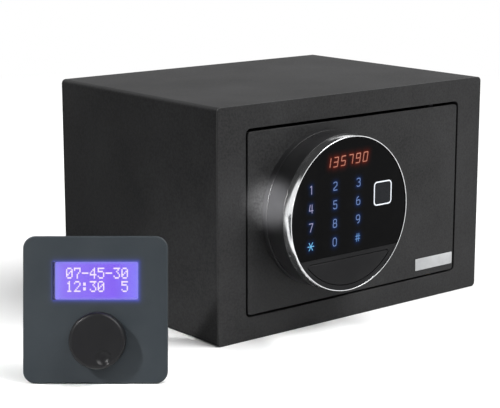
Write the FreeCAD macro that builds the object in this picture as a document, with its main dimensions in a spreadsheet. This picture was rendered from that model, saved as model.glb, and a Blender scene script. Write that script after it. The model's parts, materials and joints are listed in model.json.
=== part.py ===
import FreeCAD, Part
import math
import os
import re
import Sketcher

# A small steel safe with a turning round electronic lock head, and the separate timer control
# that stands beside it. Millimetres. The origin is the middle of the cabinet's underside, +Z is up
# and the door faces -Y. Most pieces are drawn looking at the door: a level is a distance in front
# of the cabinet's mid plane, so the door's face lies at level safe_deep/2.

SIZES = [
    ("safe_wide", 310, "cabinet, outside width"),
    ("safe_deep", 230, "cabinet, front face to back face"),
    ("safe_high", 200, "cabinet, outside height"),
    ("sheet_thick", 2, "cabinet sheet"),
    ("bend_radius", 4, "outside radius of the folded corners"),
    ("door_wide", 247, "door plate width"),
    ("door_high", 156, "door plate height"),
    ("door_thick", 4, "door plate thickness"),
    ("door_gap", 2, "gap round the door"),
    ("top_slack", 0.8, "how much wider the gap is above the door"),
    ("door_corner", 3, "corner radius of the door plate"),
    ("lug_inset", 0.5, "hinge lug below the door's edge"),
    ("lip_deep", 14, "depth of the frame's turned-in lip"),
    ("anchor_pitch", 160, "distance between two anchor holes"),
    ("anchor_radius", 5, "radius of an anchor hole"),
    ("pivot_inset", 26.5, "door axis to the door's hinge edge"),
    ("pivot_depth", 9, "door axis behind the door's face"),
    ("pin_radius", 3, "hinge pin radius"),
    ("run_clear", 0.05, "radial clearance of a turning or sliding fit"),
    ("fit_clear", 0.02, "radial clearance of a fixed fit"),
    ("lay_clear", 0.3, "gap round a piece that lifts out"),
    ("head_x", -41.3, "lock head centre, sideways"),
    ("head_up", 3.8, "lock head centre, above the door's middle"),
    ("head_radius", 67.3, "lock head radius"),
    ("head_high", 36, "lock head, door face to ring front"),
    ("base_thick", 6, "fixed flange under the head"),
    ("edge_bevel", 0.5, "small bevel on a turned edge"),
    ("turn_gap", 0.6, "gap between flange and turning drum"),
    ("ring_deep", 9, "depth of the bright ring"),
    ("ring_bevel", 0.9, "bevel at the ring's front edge"),
    ("ring_wall", 1.5, "wall of the bright ring"),
    ("drum_wall", 3, "wall of the drum"),
    ("glass_recess", 1, "touch glass below the ring's front"),
    ("glass_thick", 1.7, "touch glass thickness"),
    ("glass_chord", -33.9, "straight lower edge of the glass, from the head centre"),
    ("carrier_thick", 3.5, "plate that carries the glass"),
    ("skirt_wall", 2, "wall of the carrier's skirt"),
    ("cover_chord", -37.6, "upper edge of the key cover, from the head centre"),
    ("cover_half", 44.5, "half the straight upper edge of the key cover"),
    ("cover_knee", 47, "half width at the key cover's cut corners"),
    ("cover_radius", 61.7, "radius of the key cover's round edge"),
    ("cover_thick", 2.8, "key cover thickness"),
    ("led_x", -2.4, "display centre, sideways from the head centre"),
    ("led_z", 46.4, "display centre, above the head centre"),
    ("led_wide", 54, "display width"),
    ("led_high", 14, "display height"),
    ("sensor_x", 38.3, "fingerprint sensor, sideways from the head centre"),
    ("sensor_z", 12.9, "fingerprint sensor, above the head centre"),
    ("sensor_wide", 20.8, "outside width of the sensor's frame"),
    ("sensor_corner", 3.6, "corner radius of the sensor's frame"),
    ("sensor_rim", 1, "width of the sensor's frame"),
    ("sensor_recess", 0.2, "sensor below its frame"),
    ("board_thick", 1.6, "circuit board thickness"),
    ("key_drop", 49.5, "key lock below the head centre"),
    ("key_radius", 6, "key plug radius"),
    ("key_wall", 2.6, "wall round the key plug"),
    ("key_floor", 2, "floor of the key lock's housing"),
    ("key_slot_wide", 1.2, "key slot, width"),
    ("key_slot_high", 7, "key slot, height"),
    ("key_slot_deep", 8, "key slot, depth"),
    ("spindle_radius", 6, "spindle radius"),
    ("spindle_tail", 4.5, "radius of the spindle's stepped tail, in the cam"),
    ("spindle_flange", 22, "radius of the spindle's flange"),
    ("flange_thick", 3, "thickness of the spindle's flange"),
    ("bush_wall", 3, "wall of the spindle's bush"),
    ("bush_tail", 2, "bush standing out behind the door plate"),
    ("base_screw", 2, "flange screw, shank radius"),
    ("base_screw_turn", 20, "first flange screw's place round the spindle, degrees"),
    ("clip_thick", 1, "spindle clip thickness"),
    ("clip_wide", 3, "spindle clip, radial width"),
    ("cam_radius", 16, "drive cam radius"),
    ("cam_thick", 6, "drive cam thickness"),
    ("cam_gap", 1.6, "clip to drive cam"),
    ("bolt_travel", 15, "how far the bolts are thrown"),
    ("cam_pin_radius", 3, "cam pin radius"),
    ("cam_pin_tail", 2, "cam pin standing out behind the carriage"),
    ("slot_clear", 0.6, "cam pin to each wall of its slot"),
    ("bolt_radius", 8, "bolt radius"),
    ("bolt_clear", 1, "bolt behind the frame's lip"),
    ("bolt_tip_inset", 2.5, "bolt tip inside the door's edge when drawn back"),
    ("bolt_long", 39, "bolt length"),
    ("bolt_pitch", 80, "distance between the two bolts"),
    ("bolt_up", 2, "midway between the two bolts, above the door's middle"),
    ("carriage_thick", 3, "bolt carriage sheet"),
    ("bar_wide", 34, "width of the carriage's upright bar"),
    ("bar_over", 14, "upright bar beyond each bolt's axis"),
    ("arm_high", 26, "height of the carriage's arm"),
    ("tongue_deep", 8, "carriage tongue inside a bolt"),
    ("tongue_high", 10, "height of a carriage tongue"),
    ("stud_radius", 3, "carriage stud radius"),
    ("stud_pitch", 38, "distance between the two studs"),
    ("stud_clear", 0.3, "stud to its slot's long walls"),
    ("stud_head", 2, "thickness of a stud's head"),
    ("guide_long", 10, "length of a bolt guide"),
    ("guide_half", 12.5, "half height of a bolt guide"),
    ("guide_wall", 3, "bolt guide's wall behind the bolt"),
    ("guide_gap", 0.6, "bolt guide to the inner cover's wall"),
    ("pan_wall", 1.2, "inner cover sheet"),
    ("pan_deep", 39, "inner cover depth behind the door plate"),
    ("pan_left", 110, "inner cover's free side, from the middle"),
    ("pan_right", 78, "inner cover's hinge side, from the middle"),
    ("pan_high", 136, "inner cover height"),
    ("pan_corner", 5, "corner radius of the inner cover"),
    ("post_radius", 4, "inner cover post radius"),
    ("post_inset", 1.2, "post to the inner cover's walls"),
    ("cover_screw", 1.5, "inner cover screw, shank radius"),
    ("screw_bite", 6, "inner cover screw inside its post"),
    ("screw_hole", 8, "depth of the hole in a post"),
    ("screw_head", 3, "small screw, head radius"),
    ("screw_rise", 1.8, "small screw, head height"),
    ("coil_wide", 20, "solenoid frame width"),
    ("coil_high", 26, "solenoid frame height"),
    ("coil_gap", 12, "solenoid frame above the carriage's arm"),
    ("coil_sheet", 2, "solenoid frame sheet"),
    ("coil_radius", 8, "solenoid coil radius"),
    ("plunger_radius", 4, "solenoid plunger radius"),
    ("plunger_travel", 4, "how far the plunger is pulled in"),
    ("plunger_rest", 0.3, "plunger tip above the carriage's arm"),
    ("plunger_side", 1, "plunger beside the cam pin's slot"),
    ("plunger_pass", 1, "plunger past the arm's end when the bolts are out"),
    ("plunger_nose", 4, "plunger below its collar"),
    ("plunger_spare", 1, "room above the plunger when it is pulled in"),
    ("collar_radius", 6, "plunger collar radius"),
    ("collar_thick", 1.5, "plunger collar thickness"),
    ("spring_wire", 0.45, "plunger spring wire radius"),
    ("spring_turns", 4, "turns of the plunger spring"),
    ("control_x", 24, "control board centre, sideways"),
    ("control_up", 35.5, "control board centre, above the door's middle"),
    ("control_wide", 78, "control board width"),
    ("control_high", 48, "control board height"),
    ("control_level", 88, "control board's rear face, level"),
    ("board_post", 3, "board post radius"),
    ("board_post_inset", 1, "board post to the board's edges"),
    ("reset_x", 45, "reset button, sideways"),
    ("reset_up", 36, "reset button, above the door's middle"),
    ("reset_radius", 4, "reset button radius"),
    ("reset_travel", 1, "reset button travel"),
    ("reset_rise", 1.5, "reset button standing out of the inner cover"),
    ("reset_high", 6, "reset switch height"),
    ("reset_slack", 0.2, "reset button's play"),
    ("reset_collar", 1.2, "reset button collar thickness"),
    ("reset_collar_wide", 2, "reset button collar, radial width"),
    ("socket_x", 8, "link socket, sideways"),
    ("socket_wide", 12, "link socket width"),
    ("socket_high", 7, "link socket height"),
    ("port_wide", 9, "width of a socket's port"),
    ("port_high", 3.2, "height of a socket's port"),
    ("port_deep", 6, "depth of a socket's port"),
    ("cell_radius", 7.1, "battery radius"),
    ("cell_long", 50, "battery length"),
    ("cell_pitch", 15, "distance between two batteries"),
    ("cell_count", 4, "number of batteries"),
    ("cell_clear", 0.5, "battery to the box"),
    ("cell_nub", 1, "battery's raised pole"),
    ("cell_x", 35, "batteries' middle, sideways"),
    ("cell_up", -31, "batteries' middle, above the door's middle"),
    ("contact_room", 2, "room for a contact at each battery end"),
    ("contact_thick", 0.6, "battery contact sheet"),
    ("contact_wide", 11.4, "battery contact, width and height"),
    ("box_wall", 1.5, "battery box wall"),
    ("lid_thick", 1.8, "battery cover thickness"),
    ("label_x", 98.2, "label plate centre, sideways"),
    ("label_up", -66.9, "label plate centre, above the door's middle"),
    ("label_wide", 48, "label plate width"),
    ("label_high", 11, "label plate height"),
    ("label_thick", 0.4, "label plate thickness"),
    ("label_corner", 1, "corner radius of the label plate"),
    ("timer_x", -285.3, "timer control, middle of its front foot, sideways"),
    ("timer_y", -127.6, "timer control, middle of its front foot, front to back"),
    ("timer_yaw", -39.4, "timer control turned about the vertical, degrees"),
    ("timer_wide", 111.4, "timer control, width of its front plate"),
    ("timer_high", 113.3, "timer control, height of its front plate"),
    ("timer_deep", 28, "timer control depth"),
    ("timer_step", 5.4, "timer housing set in behind the front plate's edge"),
    ("timer_corner", 9.5, "corner radius of the timer's plate"),
    ("timer_plate", 3, "timer front plate"),
    ("timer_wall", 2, "timer housing wall"),
    ("timer_post_inset", 0.5, "timer post to the housing's walls"),
    ("timer_board_inset", 1, "timer board to the posts above and below"),
    ("timer_edge", 0.8, "bevel round the timer's front"),
    ("window_x", 0, "LCD window, sideways from the timer's middle"),
    ("window_z", 78.9, "LCD window height"),
    ("window_wide", 65.8, "LCD window width"),
    ("window_high", 29.3, "LCD window height, top to bottom"),
    ("window_thick", 1.2, "clear window thickness"),
    ("window_lap", 3, "clear window behind the plate, each side"),
    ("lcd_thick", 8, "LCD module thickness"),
    ("knob_x", 2.4, "knob, sideways from the timer's middle"),
    ("knob_z", 33.9, "knob height"),
    ("knob_radius", 21.6, "knob radius"),
    ("knob_high", 14, "knob height above the plate"),
    ("knob_gap", 0.8, "knob above the plate"),
    ("knob_round", 3, "rounding of the knob's front edge"),
    ("knob_skirt", 2.5, "wall of the knob"),
    ("knob_face", 4, "thickness of the knob's face"),
    ("hub_wall", 3, "wall of the knob's hub"),
    ("hub_inset", 2, "hub inside the knob's rear edge"),
    ("shaft_sunk", 3, "shaft end below the knob's height"),
    ("shaft_room", 1, "room round the shaft in the front plate"),
    ("dimple_x", 5.2, "finger dimple, sideways from the knob's axis"),
    ("dimple_z", -13.3, "finger dimple, above the knob's axis"),
    ("dimple_ball", 11, "radius of the dimple's hollow"),
    ("dimple_deep", 2, "depth of the dimple"),
    ("shaft_radius", 3, "knob shaft radius"),
    ("encoder_wide", 14, "encoder width"),
    ("encoder_deep", 8, "encoder depth"),
    ("encoder_floor", 1.5, "floor of the encoder"),
    ("encoder_neck", 2, "wall of the encoder's neck"),
    ("push_slack", 0.2, "encoder plunger's play"),
    ("push_travel", 0.5, "how far the knob is pushed in"),
    ("push_disc", 4, "encoder plunger radius"),
    ("push_thick", 1.5, "encoder plunger thickness"),
]

# Places worked out from the sizes.
FACE = "safe_deep/2"
FRAME_BACK = "(safe_deep/2 - sheet_thick)"
LIP_BACK = "(safe_deep/2 - sheet_thick - lip_deep)"
DOOR_BACK = "(safe_deep/2 - door_thick)"
OPEN_WIDE = "(door_wide + 2*door_gap)"
OPEN_HIGH = "(door_high + 2*door_gap)"
OPEN_CORNER = "(door_corner + door_gap)"
MID_Z = "safe_high/2"
HEAD_Z = "(safe_high/2 + head_up)"
BOLT_Z = "(safe_high/2 + bolt_up)"
CONTROL_Z = "(safe_high/2 + control_up)"
RESET_Z = "(safe_high/2 + reset_up)"
CELL_Z = "(safe_high/2 + cell_up)"
LABEL_Z = "(safe_high/2 + label_up)"
PIVOT_X = "(door_wide/2 - pivot_inset)"
PIVOT_LEVEL = "(safe_deep/2 - pivot_depth)"

BASE_FRONT = "(safe_deep/2 + base_thick)"
DRUM_BACK = "(safe_deep/2 + base_thick + turn_gap)"
DRUM_FLOOR = "(safe_deep/2 + base_thick + turn_gap + drum_wall)"
DRUM_FRONT = "(safe_deep/2 + head_high - ring_deep)"
HEAD_FRONT = "(safe_deep/2 + head_high)"
GLASS_FRONT = "(safe_deep/2 + head_high - glass_recess)"
GLASS_BACK = "(safe_deep/2 + head_high - glass_recess - glass_thick)"
CARRIER_BACK = "(safe_deep/2 + head_high - glass_recess - glass_thick - carrier_thick)"
COVER_FLOOR = "(safe_deep/2 + head_high - glass_recess - cover_thick - lay_clear)"
FACE_RADIUS = "(head_radius - ring_wall - lay_clear)"
SKIRT_RADIUS = "(head_radius - drum_wall - lay_clear)"
FLANGE_FRONT = "(safe_deep/2 + base_thick + turn_gap + drum_wall + flange_thick)"

BUSH_RADIUS = "(spindle_radius + bush_wall)"
BUSH_END = "(safe_deep/2 - door_thick - bush_tail)"
CLIP_FRONT = "(safe_deep/2 - door_thick - bush_tail - run_clear)"
CAM_FRONT = "(safe_deep/2 - door_thick - bush_tail - clip_thick - cam_gap)"
CAM_BACK = "(safe_deep/2 - door_thick - bush_tail - clip_thick - cam_gap - cam_thick)"
CRANK_SIDE = "(bolt_travel/2)"

BOLT_LEVEL = "(safe_deep/2 - sheet_thick - lip_deep - bolt_radius - bolt_clear)"
PLATE_BACK = "(safe_deep/2 - sheet_thick - lip_deep - bolt_radius - bolt_clear - carriage_thick/2)"
PLATE_FRONT = "(safe_deep/2 - sheet_thick - lip_deep - bolt_radius - bolt_clear + carriage_thick/2)"
BOLT_TIP = "(bolt_tip_inset - door_wide/2)"
BAR_LEFT = "(%s + bolt_long)" % BOLT_TIP
SLOT_X = "(head_x + bolt_travel/2)"
SLOT_LOW = "(safe_high/2 + head_up + bolt_travel/2 - cam_pin_radius - slot_clear)"
SLOT_TOP = "(safe_high/2 + head_up + bolt_travel/2/sin(45 deg) + cam_pin_radius + slot_clear)"
ARM_MID = "(safe_high/2 + head_up + bolt_travel/4 + bolt_travel/4/sin(45 deg))"
ARM_TOP = "(%s + arm_high/2)" % ARM_MID
PLUNGER_X = "(head_x + bolt_travel/2 + plunger_side)"
ARM_RIGHT = "(head_x + bolt_travel/2 + plunger_side + bolt_travel - plunger_radius - plunger_pass)"
COIL_LOW = "(%s + coil_gap)" % ARM_TOP
STUD_X = "(%s + bar_wide/2 - bolt_travel/2)" % BAR_LEFT
PAN_LEVEL = "(safe_deep/2 - door_thick - pan_deep)"
PAN_INSIDE = "(safe_deep/2 - door_thick - pan_deep + pan_wall)"
PAN_WIDE = "(pan_left + pan_right)"
PAN_X = "((pan_right - pan_left)/2)"
GUIDE_X = "(pan_wall + guide_long/2 + guide_gap - pan_left)"
BOX_WIDE = "(cell_long + 2*contact_room + 2*box_wall)"
BOX_HIGH = "((cell_count - 1)*cell_pitch + 2*cell_radius + 2*cell_clear + 2*box_wall)"
CELL_LEVEL = "(safe_deep/2 - door_thick - pan_deep + lid_thick + 2*cell_clear + cell_radius)"
BOX_FRONT = "(safe_deep/2 - door_thick - pan_deep + lid_thick + 3*cell_clear + 2*cell_radius + box_wall)"
TIMER_LEAN = "atan(timer_step/(timer_deep - timer_plate))"

doc = FreeCAD.newDocument("timed_lock_container")
sheet = doc.addObject("Spreadsheet::Sheet", "Sizes")
for row, (alias, amount, note) in enumerate(SIZES, 1):
    sheet.set("A%d" % row, note)
    sheet.set("B%d" % row, "%g" % amount)
    sheet.setAlias("B%d" % row, alias)
doc.recompute()
WORDS = {alias for alias, amount, note in SIZES}
PIECES = []
CUTS = []


def cells(text):
    """An expression with each size's name turned into its cell of the sheet."""
    return re.sub(r"[a-z_]+", lambda m: "Sizes." + m.group(0) if m.group(0) in WORDS else m.group(0), text)


def number(text):
    """The present value of an expression."""
    found = sheet.evalExpression(cells(text))
    return float(getattr(found, "Value", found))


def bind(owner, name, text):
    """Drive a property of an object by an expression."""
    owner.setExpression(name, cells(text))


def hold(sketch, shape, spot, across, up):
    """Fix one point of a sketch by its distances from the sketch's origin."""
    for kind, axis, text in (("DistanceX", -2, across), ("DistanceY", -1, up)):
        if text == "0":
            sketch.addConstraint(Sketcher.Constraint("PointOnObject", shape, spot, axis))
        else:
            made = sketch.addConstraint(Sketcher.Constraint(kind, -1, 1, shape, spot, number(text)))
            bind(sketch, "Constraints[%d]" % made, text)


def size(sketch, kind, shape, text):
    """Give one shape of a sketch a driven radius or length."""
    made = sketch.addConstraint(Sketcher.Constraint(kind, shape, number(text)))
    bind(sketch, "Constraints[%d]" % made, text)


def join(sketch, kind, first, first_spot, second, second_spot):
    sketch.addConstraint(Sketcher.Constraint(kind, first, first_spot, second, second_spot))


def point(across, up):
    return FreeCAD.Vector(across, up, 0)


def arc(middle, radius, start, end):
    """A counter-clockwise arc, its ends in degrees."""
    ring = Part.Circle(middle, FreeCAD.Vector(0, 0, 1), radius)
    return Part.ArcOfCircle(ring, math.radians(start), math.radians(end))


def circle(radius, x="0", y="0"):
    """A circle to draw in a sketch."""
    def draw(sketch):
        ring = Part.Circle(point(number(x), number(y)), FreeCAD.Vector(0, 0, 1), number(radius))
        made = sketch.addGeometry(ring, False)
        hold(sketch, made, 3, x, y)
        size(sketch, "Radius", made, radius)
    return draw


def outline(*corners):
    """A closed outline of straight lines through the corners."""
    def draw(sketch):
        first = len(sketch.Geometry)
        count = len(corners)
        spots = [point(number(x), number(y)) for x, y in corners]
        for k in range(count):
            sketch.addGeometry(Part.LineSegment(spots[k], spots[(k + 1) % count]), False)
        for k in range(count):
            join(sketch, "Coincident", first + k, 2, first + (k + 1) % count, 1)
        for k, (x, y) in enumerate(corners):
            hold(sketch, first + k, 1, x, y)
    return draw


def box(wide, high, x="0", y="0"):
    """A sharp-cornered rectangle about a centre."""
    left = "(%s) - (%s)/2" % (x, wide)
    right = "(%s) + (%s)/2" % (x, wide)
    low = "(%s) - (%s)/2" % (y, high)
    top = "(%s) + (%s)/2" % (y, high)
    return outline((left, low), (right, low), (right, top), (left, top))


def soft_box(wide, high, corner, x="0", y="0"):
    """A rectangle about a centre with round corners."""
    def draw(sketch):
        first = len(sketch.Geometry)
        a, b, r = number(wide) / 2, number(high) / 2, number(corner)
        at = point(number(x), number(y))
        sides = [((r - a, -b), (a - r, -b)), ((a, r - b), (a, b - r)),
                 ((a - r, b), (r - a, b)), ((-a, b - r), (-a, r - b))]
        turns = [(a - r, r - b, -90), (a - r, b - r, 0), (r - a, b - r, 90), (r - a, r - b, 180)]
        for start, end in sides:
            sketch.addGeometry(Part.LineSegment(at + point(*start), at + point(*end)), False)
        for across, up, angle in turns:
            sketch.addGeometry(arc(at + point(across, up), r, angle, angle + 90), False)
        for k in range(4):
            join(sketch, "Tangent", first + k, 2, first + 4 + k, 1)
            join(sketch, "Tangent", first + 4 + k, 2, first + (k + 1) % 4, 1)
        sketch.addConstraint(Sketcher.Constraint("Horizontal", first))
        sketch.addConstraint(Sketcher.Constraint("Vertical", first + 1))
        for k in range(5, 8):
            sketch.addConstraint(Sketcher.Constraint("Equal", first + 4, first + k))
        size(sketch, "Radius", first + 4, corner)
        reach = "((%s)/2 - (%s))" % (wide, corner)
        rise = "((%s)/2 - (%s))" % (high, corner)
        hold(sketch, first + 4, 3, "(%s) + %s" % (x, reach), "(%s) - %s" % (y, rise))
        hold(sketch, first + 6, 3, "(%s) - %s" % (x, reach), "(%s) + %s" % (y, rise))
    return draw


def slot(long, radius, x="0", y="0", upright=False):
    """A round-ended slot about a centre. long is its full length."""
    def draw(sketch):
        first = len(sketch.Geometry)
        reach, r = number(long) / 2 - number(radius), number(radius)
        at = point(number(x), number(y))
        run = point(0, reach) if upright else point(reach, 0)
        side = point(-r, 0) if upright else point(0, r)
        angle = 0 if upright else -90
        sketch.addGeometry(Part.LineSegment(at - run - side, at + run - side), False)
        sketch.addGeometry(arc(at + run, r, angle, angle + 180), False)
        sketch.addGeometry(Part.LineSegment(at + run + side, at - run + side), False)
        sketch.addGeometry(arc(at - run, r, angle + 180, angle + 360), False)
        for k in range(4):
            join(sketch, "Tangent", first + k, 2, first + (k + 1) % 4, 1)
        size(sketch, "Radius", first + 1, radius)
        ends = "(%s)/2 - (%s)" % (long, radius)
        if upright:
            hold(sketch, first + 1, 3, x, "(%s) + %s" % (y, ends))
            hold(sketch, first + 3, 3, x, "(%s) - %s" % (y, ends))
        else:
            hold(sketch, first + 1, 3, "(%s) + %s" % (x, ends), y)
            hold(sketch, first + 3, 3, "(%s) - %s" % (x, ends), y)
    return draw


def cut_disc(radius, chord, keep_low=False):
    """A disc about the origin cut off straight at the height chord, below the centre."""
    def draw(sketch):
        first = len(sketch.Geometry)
        r, level = number(radius), number(chord)
        half = math.sqrt(r * r - level * level)
        angle = math.degrees(math.atan2(level, half))
        start, end = (180 - angle, 360 + angle) if keep_low else (angle, 180 - angle)
        round_edge = arc(point(0, 0), r, start, end)
        sketch.addGeometry(round_edge, False)
        sketch.addGeometry(Part.LineSegment(round_edge.EndPoint, round_edge.StartPoint), False)
        join(sketch, "Coincident", first, 2, first + 1, 1)
        join(sketch, "Coincident", first + 1, 2, first, 1)
        join(sketch, "Coincident", first, 3, -1, 1)
        size(sketch, "Radius", first, radius)
        sketch.addConstraint(Sketcher.Constraint("Horizontal", first + 1))
        made = sketch.addConstraint(Sketcher.Constraint("DistanceY", -1, 1, first + 1, 1, level))
        bind(sketch, "Constraints[%d]" % made, chord)
    return draw


def cover_shape(radius, chord, half, knee):
    """The key cover's outline: a straight top, two cut corners and a round foot."""
    def draw(sketch):
        first = len(sketch.Geometry)
        r, level, a, b = number(radius), number(chord), number(half), number(knee)
        low = -math.sqrt(r * r - b * b)
        angle = math.degrees(math.atan2(low, b))
        sketch.addGeometry(Part.LineSegment(point(-a, level), point(a, level)), False)
        sketch.addGeometry(Part.LineSegment(point(a, level), point(b, low)), False)
        sketch.addGeometry(arc(point(0, 0), r, 180 - angle, 360 + angle), False)
        sketch.addGeometry(Part.LineSegment(point(-b, low), point(-a, level)), False)
        join(sketch, "Coincident", first, 2, first + 1, 1)
        join(sketch, "Coincident", first + 1, 2, first + 2, 2)
        join(sketch, "Coincident", first + 2, 1, first + 3, 1)
        join(sketch, "Coincident", first + 3, 2, first, 1)
        join(sketch, "Coincident", first + 2, 3, -1, 1)
        size(sketch, "Radius", first + 2, radius)
        hold(sketch, first, 1, "-(%s)" % half, chord)
        hold(sketch, first, 2, half, chord)
        for end, text in ((1, "-(%s)" % knee), (2, knee)):
            held = Sketcher.Constraint("DistanceX", -1, 1, first + 2, end, number(text))
            made = sketch.addConstraint(held)
            bind(sketch, "Constraints[%d]" % made, text)
    return draw


class Piece:
    """One sub-part: a body built up from sketches on its own origin planes."""

    def __init__(self, label):
        self.body = doc.addObject("PartDesign::Body", label)
        self.body.Label = label
        self.count = 0
        PIECES.append(self.body)

    def sketch(self, plane, level, shapes, x="0", y="0"):
        """A sketch on the plane XY, XZ or YZ, moved out by level and along by x and y."""
        self.count += 1
        name = "%s_sketch_%d" % (self.body.Label, self.count)
        drawn = self.body.newObject("Sketcher::SketchObject", name)
        role = plane + "_Plane"
        base = [part for part in self.body.Origin.OriginFeatures if part.Role == role][0]
        drawn.AttachmentSupport = (base, [""])
        drawn.MapMode = "FlatFace"
        bind(drawn, "AttachmentOffset.Base.x", x)
        bind(drawn, "AttachmentOffset.Base.y", y)
        bind(drawn, "AttachmentOffset.Base.z", level)
        for draw in shapes:
            draw(drawn)
        return drawn

    def feature(self, kind, drawn):
        name = "%s_%s_%d" % (self.body.Label, kind.lower(), self.count)
        made = self.body.newObject("PartDesign::" + kind, name)
        made.Profile = drawn
        drawn.Visibility = False
        return made

    def add(self, plane, low, high, *shapes, x="0", y="0"):
        """Solid between two levels of a plane."""
        made = self.feature("Pad", self.sketch(plane, low, shapes, x, y))
        bind(made, "Length", "(%s) - (%s)" % (high, low))
        return self

    def cut(self, plane, low, high, *shapes, x="0", y="0"):
        """Hollow between two levels of a plane."""
        made = self.feature("Pocket", self.sketch(plane, low, shapes, x, y))
        made.Reversed = True
        bind(made, "Length", "(%s) - (%s)" % (high, low))
        CUTS.append(made)
        return self

    def turn(self, *corners, x="head_x", z=HEAD_Z):
        """Turned about an axis along Y. Corners are (radius, level)."""
        shape = outline(*[(radius, "-(%s)" % level) for radius, level in corners])
        drawn = self.sketch("XY", z, [shape], x)
        made = self.feature("Revolution", drawn)
        made.ReferenceAxis = (drawn, ["V_Axis"])
        made.Angle = 360
        return self

    def bevel(self, kind, amount, wanted):
        """Fillet or Chamfer on the edges that the test picks."""
        doc.recompute()
        tip = self.body.Tip
        names = ["Edge%d" % (k + 1) for k, edge in enumerate(tip.Shape.Edges) if wanted(edge)]
        made = self.body.newObject("PartDesign::" + kind, "%s_%s" % (self.body.Label, kind.lower()))
        made.Base = (tip, names)
        bind(made, "Size" if kind == "Chamfer" else "Radius", amount)
        return self


def near(a, b):
    return abs(a - b) < 0.001


def at_level(text):
    """A test for edges that lie wholly at one level in front of the mid plane."""
    level = -number(text)
    return lambda edge: near(edge.BoundBox.YMin, level) and near(edge.BoundBox.YMax, level)


def spread(radius, count, start):
    """Places on a circle, as sketch coordinates. start is the first one's angle in degrees."""
    angles = ["((%s + %g)*1 deg)" % (start, 360 * k / count) for k in range(count)]
    return [("(%s)*cos%s" % (radius, angle), "(%s)*sin%s" % (radius, angle)) for angle in angles]


def at_places(radius, places):
    """Equal circles at several places."""
    return [circle(radius, x, y) for x, y in places]


BASE_SCREWS = spread("head_radius*2/3", 3, "base_screw_turn")
SPINDLE_SCREWS = spread("spindle_flange*2/3", 4, "45")


def make_cabinet():
    """Bent wrap, welded front frame with its lip, welded back, and the hinge bushes."""
    inner_corner = "bend_radius - sheet_thick"
    outside = soft_box("safe_wide", "safe_high", "bend_radius", "0", MID_Z)

    wrap = Piece("cabinet_wrap")
    wrap.add("XZ", "sheet_thick - safe_deep/2", FRAME_BACK, outside,
             soft_box("safe_wide - 2*sheet_thick", "safe_high - 2*sheet_thick", inner_corner, "0", MID_Z))
    wrap.cut("XY", "0", "sheet_thick",
             circle("anchor_radius", "anchor_pitch/2"), circle("anchor_radius", "-anchor_pitch/2"))

    frame = Piece("front_frame")
    mouth = soft_box(OPEN_WIDE, OPEN_HIGH, OPEN_CORNER, "0", MID_Z)
    frame.add("XZ", FRAME_BACK, FACE, outside, mouth)
    around = "%s + 2*sheet_thick"
    frame.add("XZ", LIP_BACK, FRAME_BACK, mouth,
              soft_box(around % OPEN_WIDE, around % OPEN_HIGH, OPEN_CORNER + " + sheet_thick", "0", MID_Z))
    frame.cut("XY", "0", "safe_high", circle("pin_radius + sheet_thick", PIVOT_X, "-" + PIVOT_LEVEL))

    back = Piece("back_panel")
    back.add("XZ", "-safe_deep/2", "sheet_thick - safe_deep/2", outside,
             circle("anchor_radius", "anchor_pitch/2", MID_Z),
             circle("anchor_radius", "-anchor_pitch/2", MID_Z))

    bushes = Piece("hinge_bushes")
    bore = circle("pin_radius + run_clear")
    sleeve = circle("pin_radius + sheet_thick - fit_clear")
    collar = circle("pin_radius + 2*sheet_thick")
    top = "%s + %s/2" % (MID_Z, OPEN_HIGH)
    low = "%s - %s/2" % (MID_Z, OPEN_HIGH)
    place = {"x": PIVOT_X, "y": "-" + PIVOT_LEVEL}
    bushes.add("XY", top, top + " + sheet_thick", sleeve, bore, **place)
    bushes.add("XY", top + " + sheet_thick", top + " + 2*sheet_thick", collar, bore, **place)
    bushes.add("XY", low + " - sheet_thick", low, sleeve, bore, **place)
    bushes.add("XY", low + " - 2*sheet_thick", low + " - sheet_thick", collar, bore, **place)


def make_door():
    """Door plate with its hinge lugs and pins, and the blank label plate."""
    plate = Piece("door_plate")
    plate.add("XZ", DOOR_BACK, FACE, soft_box("door_wide", "(door_high - top_slack)", "door_corner",
                                              "0", "(%s - top_slack/2)" % MID_Z))
    plate.cut("XZ", DOOR_BACK, FACE, circle(BUSH_RADIUS + " + fit_clear"),
              *at_places("base_screw + fit_clear", BASE_SCREWS), x="head_x", y=HEAD_Z)

    lugs = Piece("hinge_lugs")
    pins = Piece("hinge_pins")
    lug_high = "4*pin_radius"
    for side, inset in (("+", "(lug_inset + top_slack)"), ("-", "lug_inset")):
        edge = "(%s %s (door_high/2 - %s))" % (MID_Z, side, inset)
        inward = "(%s %s (door_high/2 - %s - %s))" % (MID_Z, side, inset, lug_high)
        outer = "(%s %s (%s/2 + sheet_thick))" % (MID_Z, side, OPEN_HIGH)
        low, high = (inward, edge) if side == "+" else (edge, inward)
        pin_low, pin_high = (inward, outer) if side == "+" else (outer, inward)
        block = outline((PIVOT_X + " - 2*pin_radius", "-" + DOOR_BACK),
                        (PIVOT_X + " + 2*pin_radius", "-" + DOOR_BACK),
                        (PIVOT_X + " + 2*pin_radius", "2*pin_radius - " + PIVOT_LEVEL),
                        (PIVOT_X + " - 2*pin_radius", "2*pin_radius - " + PIVOT_LEVEL))
        lugs.add("XY", low, high, block, circle("pin_radius + fit_clear", PIVOT_X, "-" + PIVOT_LEVEL))
        pins.add("XY", pin_low, pin_high, circle("pin_radius", PIVOT_X, "-" + PIVOT_LEVEL))

    label = Piece("label_plate")
    label.add("XZ", FACE, FACE + " + label_thick",
              soft_box("label_wide", "label_high", "label_corner", "label_x", LABEL_Z))


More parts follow.
